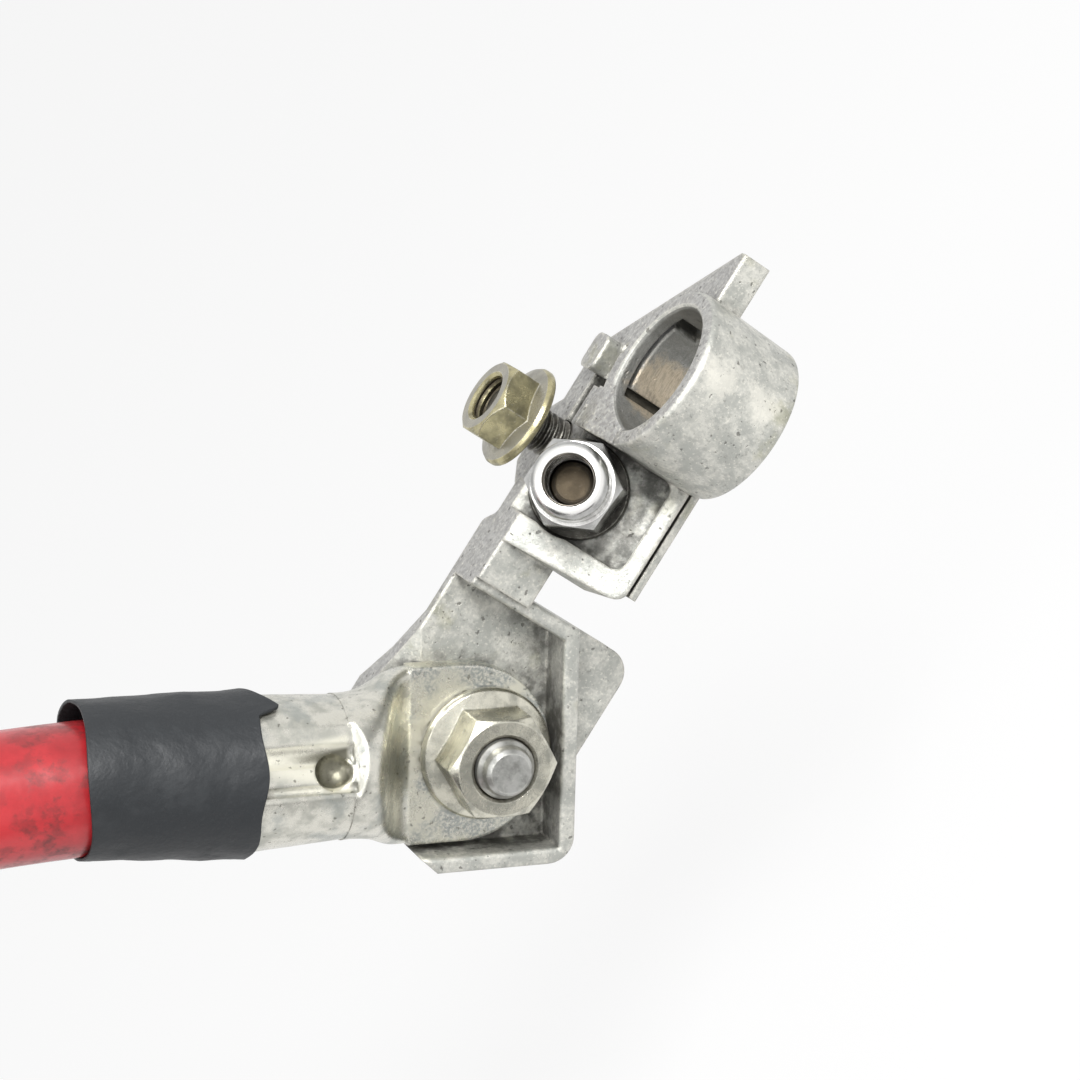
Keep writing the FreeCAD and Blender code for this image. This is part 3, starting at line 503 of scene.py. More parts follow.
@dataclass(frozen=True)
class Casting(Finish):
    """Grey die-cast metal: mottled skin, scratched tops with painted shade, crevices with dirt and painted
    shade, worn edges with a painted highlight, painted glints and highlight spots, a turned bore.
    """

    name: str = "weathered_casting"
    light: Colour = srgb(208, 207, 199)
    shade: Colour = srgb(174, 175, 169)
    # Top faces: darker, duller grey as painted shade.
    top: Colour = srgb(176, 175, 173)
    top_dark: Colour = srgb(148, 146, 145)
    # Dark colour for soot, pits and lines, and for the painted shade in crevices.
    dirt_and_shade: Colour = srgb(58, 56, 51)
    bright: Colour = srgb(236, 233, 222)
    stain: Colour = srgb(150, 147, 96)
    bore_dark: Colour = srgb(128, 128, 124)
    bore_brown: Colour = srgb(204, 186, 158)
    bore_radius: float = 9.0
    # Pale spots on the ring's front are a painted highlight; the tan patch in the bore is brown stain with
    # a painted highlight.
    highlight_spots: tuple[tuple[Point, float], ...] = (((2.5, -11.0, 4.0), 3.4), ((2.9, -10.9, -3.0), 3.2))
    tan_spots: tuple[tuple[Point, float], ...] = (((-1.8, 8.7, 1.2), 5.2),)

    def spots(
        self, graph: Graph, places: tuple[tuple[Point, float], ...]
    ) -> bpy.types.NodeSocket:
        """Marks a few spots with ragged borders.

        Args:
            graph: The material's graph.
            places: The middle and the reach of each spot, in mm.

        Returns:
            A mask that is one inside the spots.
        """
        ragged = graph.noise(graph.place(), 0.45, 5.0, 0.7)
        total: Any = 0.0
        for middle, reach in places:
            away = graph.add("VectorMath", {0: graph.place(), 1: middle}, operation="DISTANCE")
            edge = graph.math("ADD", away.outputs["Value"], graph.math("MULTIPLY", ragged, 8.0))
            total = graph.math("MAXIMUM", graph.span(edge, reach + 4.2, reach + 1.6), total)
        return total

    def bore_mask(self, graph: Graph) -> bpy.types.NodeSocket:
        """Where the surface is the wall of the post bore.

        Args:
            graph: The material's graph.

        Returns:
            A mask that is one on the wall.
        """
        flat = graph.place((1, 1, 0))
        away = graph.add("VectorMath", {0: flat}, operation="LENGTH").outputs["Value"]
        return graph.math("LESS_THAN", away, self.bore_radius)

    def top_mask(self, graph: Graph) -> bpy.types.NodeSocket:
        """Where the surface faces up the post; these faces take a painted shade.

        Args:
            graph: The material's graph.

        Returns:
            A mask that is one on the top faces.
        """
        facing = graph.add("TexCoord").outputs["Normal"]
        upward = graph.add("SeparateXYZ", {"Vector": facing}).outputs["Z"]
        return graph.span(upward, 0.75, 0.9)

    def skin(self, graph: Graph) -> bpy.types.NodeSocket:
        """The mottled colour of the cast skin before dirt and wear, with painted shade on the faces that
        look up the post.

        Args:
            graph: The material's graph.

        Returns:
            The colour's socket.
        """
        patches = GRIME.use(graph, scale=0.34, low=0.42, high=0.6).outputs["Mask"]
        fine = GRIME.use(graph, scale=1.7, low=0.42, high=0.58, seed=(3, 8, 1)).outputs["Mask"]
        stains = GRIME.use(graph, scale=0.13, low=0.56, high=0.7, seed=(40, 9, 3)).outputs["Mask"]
        base = graph.tint(patches, self.light, self.shade)
        base = graph.tint(graph.math("MULTIPLY", fine, 0.5), base, self.shade)
        # Faces that look up the post are painted darker and duller: painted shade.
        top = self.top_mask(graph)
        streaks = SCRATCHES.use(graph, scale=0.55, low=0.5, turn=0.5).outputs["Mask"]
        shaded_top = graph.tint(fine, self.top, self.top_dark)
        shaded_top = graph.tint(graph.math("MULTIPLY", streaks, 0.2), shaded_top, self.light)
        base = graph.tint(graph.math("MULTIPLY", top, 0.85), base, shaded_top)
        return graph.tint(graph.math("MULTIPLY", stains, 0.3), base, self.stain)

    def build(self, graph: Graph, shader: bpy.types.Node) -> None:
        """Lays skin, stains, dirt, pits and wear over each other, with painted shade in the crevices and
        painted highlights as glints, two spots and along the worn edges.

        Args:
            graph: The material's graph.
            shader: The Principled node that it feeds.
        """
        worn = WORN_EDGES.use(graph, radius=0.0008, scale=0.8, amount=1.0)
        crevice_dirt_and_shade = CREVICE_DIRT_AND_SHADE.use(graph, reach=0.006, scale=0.6, amount=0.85).outputs["Mask"]
        soot = GRIME.use(graph, scale=0.7, low=0.6, high=0.74, seed=(7, 31, 5)).outputs["Mask"]
        pits = PITS.use(graph, scale=1.5, size=0.5).outputs["Mask"]
        specks = PITS.use(graph, scale=3.2, size=0.6).outputs["Mask"]
        marks = graph.math("MAXIMUM", pits, graph.math("MULTIPLY", specks, 0.5))
        skin = graph.tint(graph.math("MULTIPLY", soot, 0.34), self.skin(graph), self.dirt_and_shade)
        glints = GRIME.use(graph, scale=2.6, low=0.56, high=0.66, seed=(21, 4, 2)).outputs["Mask"]
        skin = graph.tint(graph.math("MULTIPLY", glints, 0.5), skin, self.bright)
        # Painted highlight: two pale spots on the ring's front.
        painted_light_patch = graph.math("MULTIPLY", self.spots(graph, self.highlight_spots), 0.6)
        skin = graph.tint(painted_light_patch, skin, self.bright)
        # Edges lighter: wear, and a painted highlight along them.
        skin = graph.tint(graph.math("MULTIPLY", worn.outputs["Mask"], 0.9), skin, self.bright)
        # Crevices darkened: dirt and painted shade.
        skin = graph.tint(crevice_dirt_and_shade, skin, self.dirt_and_shade)
        skin = graph.tint(graph.math("MULTIPLY", marks, 0.6), skin, self.dirt_and_shade)
        cloudy = GRIME.use(graph, scale=0.12, low=0.46, high=0.66, seed=(3, 3, 18)).outputs["Mask"]
        lines = SCRATCHES.use(graph, scale=1.6, low=0.5, turn=0.0).outputs["Mask"]
        wall = graph.tint(graph.math("MULTIPLY", cloudy, 0.6), self.bore_dark, self.top)
        # Tan patch in the bore: brown stain with a painted highlight.
        tan = graph.math("MULTIPLY", self.spots(graph, self.tan_spots), 0.8)
        wall = graph.tint(tan, wall, self.bore_brown)
        wall = graph.tint(graph.math("MULTIPLY", lines, 0.3), wall, self.dirt_and_shade)
        rings = THREAD.use(graph, pitch=0.62, reach=self.bore_radius).outputs["Height"]
        uneven_rings = graph.math("MULTIPLY", rings, GRIME.use(graph, scale=0.3).outputs["Mask"])
        wall = graph.tint(graph.math("MULTIPLY", uneven_rings, 0.55), wall, self.dirt_and_shade)
        bore = self.bore_mask(graph)
        graph.feed(shader.inputs["Base Color"], graph.tint(graph.math("MULTIPLY", bore, 0.85), skin, wall))
        graph.feed(shader.inputs["Metallic"], graph.between(crevice_dirt_and_shade, 0.6, 0.1))
        uneven = GRIME.use(graph, scale=0.5, low=0.35, high=0.65, seed=(5, 5, 5)).outputs["Mask"]
        rough = graph.between(uneven, 0.32, 0.5)
        graph.feed(shader.inputs["Roughness"], graph.between(worn.outputs["Mask"], rough, 0.3))
        height = GRAIN.use(graph, scale=0.5, grit=0.35).outputs["Height"]
        sunk = graph.math("SUBTRACT", height, graph.math("MULTIPLY", pits, 0.5))
        bump = graph.add("Bump", {"Height": sunk, "Strength": 0.5, "Distance": 0.0004,
                                  "Normal": worn.outputs["Normal"]})
        graph.feed(shader.inputs["Normal"], bump.outputs["Normal"])


@dataclass(frozen=True)
class Plated(Finish):
    """A plated steel or copper piece: a base plating, a second tone in patches, dirt and wear, and painted
    shade in crevices and thread valleys.
    """

    name: str = "plated"
    base: Colour = srgb(200, 200, 200)
    second: Colour = srgb(170, 170, 170)
    # Dark colour for dirt, and for the painted shade in crevices.
    dirt_and_shade: Colour = srgb(45, 42, 38)
    bright: Colour = srgb(240, 238, 228)
    roughness: float = 0.3
    metallic: float = 0.9
    patch_scale: float = 0.35
    wear: float = 0.7
    # Strength of the crevice darkening, which is dirt and painted shade.
    grime_and_shade: float = 0.6
    grain: float = 0.12
    edge_mm: float = 0.3
    # Reach of the crevice darkening, which is dirt and painted shade.
    dirt_and_shade_reach: float = 0.002
    thread_point: Point = (0.0, 0.0, 0.0)
    thread_axis: Point = (0.0, 0.0, 1.0)
    thread_pitch: float = 1.0
    thread_reach: float = 0.0
    # Colour of the thread valleys: grime and painted shade.
    thread_dirt_and_shade: Colour = srgb(74, 66, 54)
    cap: Colour = srgb(158, 156, 150)
    cap_share: float = 0.0

    def end_face(self, graph: Graph) -> bpy.types.NodeSocket:
        """Where the surface faces along the thread, as a nut's end does.

        Args:
            graph: The material's graph.

        Returns:
            A mask that is one on the end faces.
        """
        facing = graph.add("TexCoord").outputs["Normal"]
        along = graph.add("VectorMath", {0: facing, 1: self.thread_axis}, operation="DOT_PRODUCT")
        return graph.math("MULTIPLY", graph.span(along.outputs["Value"], 0.7, 0.95), self.cap_share)

    def build(self, graph: Graph, shader: bpy.types.Node) -> None:
        """Lays plating, patches, wear, dirt with painted shade in the crevices, and any thread with painted
        shade in its valleys, over each other.

        Args:
            graph: The material's graph.
            shader: The Principled node that it feeds.
        """
        worn = WORN_EDGES.use(graph, radius=self.edge_mm * MM, scale=1.1, amount=self.wear)
        crevice_dirt_and_shade = CREVICE_DIRT_AND_SHADE.use(graph, reach=self.dirt_and_shade_reach, scale=1.0, amount=self.grime_and_shade).outputs["Mask"]
        patches = GRIME.use(graph, scale=self.patch_scale, low=0.4, high=0.64).outputs["Mask"]
        marks = SCRATCHES.use(graph, scale=0.9, low=0.62, turn=0.9).outputs["Mask"]
        skin = graph.tint(patches, self.base, self.second)
        # End faces take the cap colour: on the bright plate a painted reflection, on the yellow zinc a grey
        # end face.
        skin = graph.tint(self.end_face(graph), skin, self.cap)
        skin = graph.tint(graph.math("MULTIPLY", marks, 0.3), skin, self.bright)
        skin = graph.tint(worn.outputs["Mask"], skin, self.bright)
        # Crevices darkened: dirt and painted shade.
        skin = graph.tint(crevice_dirt_and_shade, skin, self.dirt_and_shade)
        thread = THREAD.use(graph, point=self.thread_point, axis=self.thread_axis,
                            pitch=self.thread_pitch, reach=self.thread_reach)
        # Thread valleys darkened: grime and painted shade.
        low = graph.span(thread.outputs["Height"], 0.9, 0.2)
        valley = graph.math("MULTIPLY", thread.outputs["Near"], low)
        skin = graph.tint(graph.math("MULTIPLY", valley, 0.85), skin, self.thread_dirt_and_shade)
        graph.feed(shader.inputs["Base Color"], self.touch_up(graph, skin))
        graph.feed(shader.inputs["Metallic"], graph.between(crevice_dirt_and_shade, self.metallic, 0.1))
        rough = graph.between(patches, self.roughness, self.roughness + 0.12)
        graph.feed(shader.inputs["Roughness"], graph.between(crevice_dirt_and_shade, rough, 0.8))
        height = GRAIN.use(graph, scale=0.8, grit=0.5).outputs["Height"]
        grain = graph.add("Bump", {"Height": height, "Strength": self.grain, "Distance": 0.0003,
                                   "Normal": worn.outputs["Normal"]})
        ridges = graph.add("Bump", {"Height": thread.outputs["Height"], "Strength": 0.8, "Distance": 0.0006,
                                    "Normal": grain.outputs["Normal"]})
        graph.feed(shader.inputs["Normal"], ridges.outputs["Normal"])

    def touch_up(self, graph: Graph, skin: bpy.types.NodeSocket) -> bpy.types.NodeSocket:
        """The last colour step, which a special plating replaces."""
        return skin


@dataclass(frozen=True)
class TinnedLug(Plated):
    """Tin-plated copper: a smooth barrel and a mottled palm, with a painted highlight on the crimp's flats
    and painted shade in its grooves.
    """

    mottle: Colour = srgb(158, 164, 162)
    cream: Colour = srgb(232, 229, 212)
    palm_end: float = 11.0
    # Near-white painted highlight on the crimp's flats, and painted shade in its grooves.
    painted_crimp_light: Colour = srgb(250, 247, 230)
    groove_shade: Colour = srgb(104, 102, 88)
    barrel_radius: float = 9.4
    crimp_depth: float = 1.2

    def touch_up(self, graph: Graph, skin: bpy.types.NodeSocket) -> bpy.types.NodeSocket:
        """Mottles the palm, and paints a highlight on the crimp's flats and shade in its grooves.

        Args:
            graph: The material's tree.
            skin: The colour so far.

        Returns:
            The colour with the palm's mottling.
        """
        line = THREAD.use(graph, point=self.thread_point, axis=self.thread_axis, pitch=1.0, reach=0.0)
        palm = graph.span(line.outputs["Along"], self.palm_end, self.palm_end - 1.0)
        fine = GRIME.use(graph, scale=2.2, low=0.42, high=0.56, seed=(2, 7, 7)).outputs["Mask"]
        broad = GRIME.use(graph, scale=0.12, low=0.42, high=0.58, seed=(9, 1, 4)).outputs["Mask"]
        tone = graph.tint(broad, self.cream, graph.tint(fine, self.base, self.mottle))
        smoke = GRIME.use(graph, scale=0.22, low=0.5, high=0.66, seed=(4, 2, 9)).outputs["Mask"]
        skin = graph.tint(graph.math("MULTIPLY", smoke, 0.5), skin, self.mottle)
        skin = graph.tint(graph.math("MULTIPLY", palm, 0.75), skin, tone)
        flat = self.barrel_radius - self.crimp_depth
        beyond = graph.span(line.outputs["Along"], 20.7, 21.6)
        flats = graph.span(line.outputs["Away"], flat + 0.9, flat + 0.5)
        deep = graph.span(line.outputs["Away"], flat - 0.05, flat - 0.45)
        # The crimp's flats get a painted highlight, its grooves a painted shade.
        for mask, share, colour in ((flats, 0.8, self.painted_crimp_light), (deep, 0.95, self.groove_shade)):
            painted_crimp_light = graph.math("MULTIPLY", graph.math("MULTIPLY", mask, beyond), share)
            skin = graph.tint(painted_crimp_light, skin, colour)
        spots = PITS.use(graph, scale=2.0, size=0.5).outputs["Mask"]
        return graph.tint(graph.math("MULTIPLY", spots, 0.6), skin, self.dirt_and_shade)


@dataclass(frozen=True)
class CableJacket(Finish):
    """Glossy red cable insulation with dark smudges, and a painted shadow beside the tape's end."""

    name: str = "red_jacket"
    red: Colour = srgb(190, 44, 50)
    deep: Colour = srgb(164, 28, 36)
    # Dark red for smudges and for the painted shadow beside the tape.
    smudge_and_shadow: Colour = srgb(92, 34, 34)
    tape_end: Point = (-85.9, 14.9, 38.0)
    smudge_and_shadow_reach: float = 17.0

    def build(self, graph: Graph, shader: bpy.types.Node) -> None:
        """Lays tone, smudges, a painted shadow beside the tape and a slight unevenness on the red.

        Args:
            graph: The material's graph.
            shader: The Principled node that it feeds.
        """
        tone = GRIME.use(graph, scale=0.1, low=0.35, high=0.65).outputs["Mask"]
        dark = GRIME.use(graph, scale=0.16, low=0.56, high=0.68, seed=(11, 2, 8)).outputs["Mask"]
        fine = GRIME.use(graph, scale=1.2, low=0.45, high=0.65, seed=(1, 6, 4)).outputs["Mask"]
        # Darker red near the tape's end: smudges and a painted shadow of the tape.
        away = graph.add("VectorMath", {0: graph.place(), 1: self.tape_end}, operation="DISTANCE")
        near = graph.span(away.outputs["Value"], self.smudge_and_shadow_reach, 0.45 * self.smudge_and_shadow_reach)
        streaks = GRIME.use(graph, scale=0.3, low=0.48, high=0.6, seed=(2, 5, 1)).outputs["Mask"]
        painted_light_patch = graph.math("MULTIPLY", near, graph.between(streaks, 0.25, 1.0))
        smudges_and_shadow = graph.math("MULTIPLY", graph.math("MAXIMUM", dark, painted_light_patch), graph.between(fine, 0.55, 0.9))
        skin = graph.tint(tone, self.red, self.deep)
        graph.feed(shader.inputs["Base Color"], graph.tint(smudges_and_shadow, skin, self.smudge_and_shadow))
        graph.feed(shader.inputs["Roughness"], graph.between(smudges_and_shadow, 0.3, 0.55))
        shader.inputs["Coat Weight"].default_value = 0.3
        shader.inputs["Coat Roughness"].default_value = 0.2
        height = GRAIN.use(graph, scale=0.12, grit=0.05).outputs["Height"]
        bump = graph.add("Bump", {"Height": height, "Strength": 0.25, "Distance": 0.001})
        graph.feed(shader.inputs["Normal"], bump.outputs["Normal"])


@dataclass(frozen=True)
class DarkWrap(Finish):
    """Charcoal vinyl tape or shrink sleeve, with dust and fine wrinkles."""

    name: str = "charcoal_tape"
    base: Colour = srgb(34, 37, 40)
    dust: Colour = srgb(66, 69, 71)
    roughness: float = 0.5
    wrinkle: float = 0.5

    def build(self, graph: Graph, shader: bpy.types.Node) -> None:
        """Lays dust over the dark base and wrinkles it.

        Args:
            graph: The material's graph.
            shader: The Principled node that it feeds.
        """
        worn = WORN_EDGES.use(graph, radius=0.0003, scale=0.6, amount=0.6)
        dusty = GRIME.use(graph, scale=0.3, low=0.5, high=0.75).outputs["Mask"]
        streaks = SCRATCHES.use(graph, scale=0.5, low=0.56, turn=0.98).outputs["Mask"]
        faint = graph.math("MULTIPLY", streaks, 0.12)
        film = graph.math("MAXIMUM", graph.math("MULTIPLY", dusty, 0.25), faint)
        film = graph.math("MAXIMUM", film, graph.math("MULTIPLY", worn.outputs["Mask"], 0.4))
        graph.feed(shader.inputs["Base Color"], graph.tint(film, self.base, self.dust))
        graph.feed(shader.inputs["Roughness"], graph.between(dusty, self.roughness, self.roughness + 0.2))
        height = GRAIN.use(graph, scale=0.35, grit=0.15).outputs["Height"]
        bump = graph.add("Bump", {"Height": height, "Strength": self.wrinkle, "Distance": 0.0006,
                                  "Normal": worn.outputs["Normal"]})
        graph.feed(shader.inputs["Normal"], bump.outputs["Normal"])


# Places that finishes and pieces follow, in mm, and the directions of their axes
EAR_AXIS = (0.0, -0.8660254, 0.5)
EAR_FOOT = (-17.7, 11.873, 1.973)
LUG_STUD = (-53.4, 14.9, -8.35)
LUG_STUD_AXIS = (0.0, 1.0, 0.0)
LUG_ALONG = (-0.541708, 0.0, 0.840567)
SCREW_AT = (-13.8, 19.6, 0.0)

STEEL = Plated(name="grey_zinc_steel", base=srgb(172, 172, 167), second=srgb(122, 120, 113), roughness=0.34)
SCREW_STEEL = Plated(name="dark_screw", base=srgb(104, 101, 94), second=srgb(56, 54, 50), roughness=0.36,
                     grime_and_shade=0.9)
# Brown steel, darkened further as painted shade where the stud sits deep in the sleeve nut's mouth.
SMALL_STUD = Plated(name="small_stud_steel", base=srgb(104, 92, 72), second=srgb(66, 58, 46), roughness=0.4,
                    thread_point=EAR_FOOT, thread_axis=EAR_AXIS, thread_reach=3.2)
BIG_STUD = Plated(name="big_stud_steel", base=srgb(190, 190, 186), second=srgb(140, 140, 136),
                  roughness=0.32, thread_point=LUG_STUD, thread_axis=LUG_STUD_AXIS, thread_pitch=1.25,
                  thread_reach=0.0)
YELLOW_ZINC = Plated(
    name="yellow_zinc", base=srgb(188, 180, 142), second=srgb(132, 127, 102), roughness=0.26, metallic=0.9,
    grime_and_shade=0.95, patch_scale=0.3, dirt_and_shade=srgb(70, 63, 38), dirt_and_shade_reach=0.005, cap_share=0.8,
    thread_point=SCREW_AT, thread_reach=3.25)
PALE_ZINC = Plated(
    name="pale_zinc", base=srgb(216, 213, 198), second=srgb(168, 167, 156), roughness=0.2, metallic=1.0,
    grime_and_shade=0.95, dirt_and_shade=srgb(84, 80, 66), dirt_and_shade_reach=0.003, thread_point=LUG_STUD,
    thread_axis=LUG_STUD_AXIS, thread_pitch=1.25, thread_reach=4.25)
# End faces near white as a painted reflection on the chrome, over the darker plating of the sides.
BRIGHT_PLATE = Plated(
    name="bright_plate", base=srgb(186, 186, 184), second=srgb(160, 160, 158), roughness=0.14, metallic=1.0,
    cap=srgb(250, 249, 246), cap_share=0.95, wear=0.2, grain=0.03, grime_and_shade=0.5, thread_point=EAR_FOOT,
    thread_axis=EAR_AXIS, thread_reach=3.4)
TINNED = TinnedLug(
    name="tinned_copper", base=srgb(220, 218, 208), second=srgb(186, 186, 177), roughness=0.24,
    metallic=1.0, dirt_and_shade=srgb(92, 90, 80), dirt_and_shade_reach=0.004, wear=0.35, grain=0.2, grime_and_shade=0.9, edge_mm=0.6,
    thread_point=LUG_STUD, thread_axis=LUG_ALONG)
FAR_TINNED = Plated(name="tinned_far_lug", base=srgb(214, 212, 202), second=srgb(200, 198, 189),
                    roughness=0.26, wear=0.35, grain=0.15, grime_and_shade=0.5, edge_mm=0.6)
DARK_WASHER = Plated(name="dark_washer", base=srgb(92, 90, 83), second=srgb(60, 58, 53), roughness=0.5,
                     metallic=0.5)
COPPER = Plated(name="copper_strands", base=srgb(188, 120, 86), second=srgb(150, 88, 60), roughness=0.4)
JACKET = CableJacket()
TAPE = DarkWrap()
SHRINK = DarkWrap(name="shrink_sleeve", base=srgb(34, 34, 36), roughness=0.42, wrinkle=0.25)
# Dark fill for the slit plug: painted shade.
SLIT_SHADE_FILL = DarkWrap(name="slit_shade_fill", base=srgb(70, 66, 56), dust=srgb(112, 106, 90), roughness=0.7,
                  wrinkle=0.8)
CASTING = Casting()


class Shaping:
    """Steps in edit mode that several pieces share."""

    @staticmethod
    def clear() -> None:
        """Leaves edit mode and deselects everything."""
        if bpy.context.object and bpy.context.object.mode != "OBJECT":
            bpy.ops.object.mode_set(mode="OBJECT")
        bpy.ops.object.select_all(action="DESELECT")

    @staticmethod
    def tube(name: str, rings: list[tuple[float, float]], sides: int = 64) -> bpy.types.Object:
        """An open tube about Z, drawn ring by ring.

        Args:
            name: The piece's name.
            rings: The height and radius of each ring, from one end to the other.
            sides: The number of sides.

        Returns:
            The tube, with its first ring selected last.
        """
        Shaping.clear()
        height, radius = rings[0]
        bpy.ops.mesh.primitive_circle_add(vertices=sides, radius=radius, location=(0, 0, height))
        thing = bpy.context.object
        thing.name = name
        bpy.ops.object.transform_apply(location=True, rotation=False, scale=False)
        bpy.ops.object.mode_set(mode="EDIT")
        bpy.ops.mesh.select_all(action="SELECT")
        for next_height, next_radius in rings[1:]:
            step = (0, 0, next_height - height)
            bpy.ops.mesh.extrude_region_move(TRANSFORM_OT_translate={"value": step})
            share = next_radius / radius
            bpy.ops.transform.resize(value=(share, share, 1), center_override=(0, 0, next_height))
            height, radius = next_height, next_radius
        bpy.ops.mesh.select_all(action="SELECT")
        bpy.ops.mesh.normals_make_consistent(inside=False)
        bpy.ops.object.mode_set(mode="OBJECT")
        return thing

    @staticmethod
    def close(thing: bpy.types.Object) -> None:
        """Fills the open ends of a mesh and turns its faces outwards.

        Args:
            thing: The piece.
        """
        mesh = bmesh.new()
        mesh.from_mesh(thing.data)
        bmesh.ops.remove_doubles(mesh, verts=mesh.verts, dist=0.001 * MM)
        bmesh.ops.holes_fill(mesh, edges=[edge for edge in mesh.edges if edge.is_boundary])
        bmesh.ops.recalc_face_normals(mesh, faces=mesh.faces)
        if mesh.calc_volume(signed=True) < 0:
            bmesh.ops.reverse_faces(mesh, faces=mesh.faces)
        mesh.to_mesh(thing.data)
        mesh.free()

    @staticmethod
    def settle(thing: bpy.types.Object, place: Matrix) -> None:
        """Moves a piece to its place and applies it, so that its object is at the origin.

        Args:
            thing: The piece.
            place: Where it goes and how it is turned.
        """
        Shaping.clear()
        thing.select_set(True)
        bpy.context.view_layer.objects.active = thing
        thing.matrix_world = place
        bpy.ops.object.transform_apply(location=True, rotation=True, scale=True)

    @staticmethod
    def finish_modifiers(thing: bpy.types.Object) -> None:
        """Applies every modifier of a piece.

        Args:
            thing: The piece.
        """
        Shaping.clear()
        thing.select_set(True)
        bpy.context.view_layer.objects.active = thing
        for modifier in list(thing.modifiers):
            bpy.ops.object.modifier_apply(modifier=modifier.name)

    @staticmethod
    def smooth(thing: bpy.types.Object, angle: float = 40.0) -> None:
        """Shades a piece smooth but for its sharp edges.

        Args:
            thing: The piece.
            angle: The angle, in degrees, past which an edge stays sharp.
        """
        Shaping.clear()
        thing.select_set(True)
        bpy.context.view_layer.objects.active = thing
        bpy.ops.object.shade_smooth_by_angle(angle=math.radians(angle))


def frame_place(origin: Vector, along: Vector, side: Vector) -> Matrix:
    """A place whose Z runs along one direction and whose X leans to another.

    Args:
        origin: Where the piece's own origin goes.
        along: The direction of its Z.
        side: The direction that its X is nearest to.

    Returns:
        The placing matrix.
    """
    z_axis = along.normalized()
    x_axis = (side - z_axis * side.dot(z_axis)).normalized()
    y_axis = z_axis.cross(x_axis)
    turn = Matrix((x_axis, y_axis, z_axis)).transposed().to_4x4()
    return Matrix.Translation(origin) @ turn


@dataclass
class LugLine:
    """The line of the crimped lug: its stud and the angle that it rises at."""

    stud: Point = in_metres(LUG_STUD)
    angle: float = 57.2

    @property
    def along(self) -> Vector:
        """The direction from the stud to the cable."""
        turn = math.radians(self.angle)
        return Vector((-math.cos(turn), 0, math.sin(turn)))

    def spot(self, distance: float) -> Vector:
        """A place on the lug's axis."""
        return Vector(self.stud) + self.along * distance


@dataclass
class Cable:
    """The red cable: its smooth line and its jacket."""

    radius: float = 8.6 * MM
    length: float = 0.3145
    route: list[Point] = field(default_factory=lambda: [
        (-0.07426, 0.0149, 0.02401),
        (-0.10893, 0.0149, 0.07781),
        (-0.16963, 0.0158, 0.09961),
        (-0.23283, 0.0176, 0.08051),
        (-0.27173, 0.0196, 0.02841),
        (-0.27243, 0.0212, -0.03439),
    ])

    def build(self, nodes: dict[str, bpy.types.Object]) -> None:
        """Draws the cable as a round curve along its route.

        Args:
            nodes: The frame's nodes by name; not used.
        """
        data = bpy.data.curves.new("red_cable", "CURVE")
        data.dimensions = "3D"
        data.bevel_depth = self.radius
        data.bevel_resolution = 10
        data.use_fill_caps = True
        data.resolution_u = 24
        spline = data.splines.new("NURBS")
        spline.points.add(len(self.route) - 1)
        for point, where in zip(spline.points, self.route):
            point.co = (*where, 1.0)
        spline.order_u = 3
        spline.use_endpoint_u = True
        piece = bpy.data.objects.new("red_cable", data)
        bpy.context.scene.collection.objects.link(piece)
        JACKET.dress(piece)
        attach(piece, Body.CLAMP.value)
        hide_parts("cable")
        LOG.info("red_cable follows %d points", len(self.route))


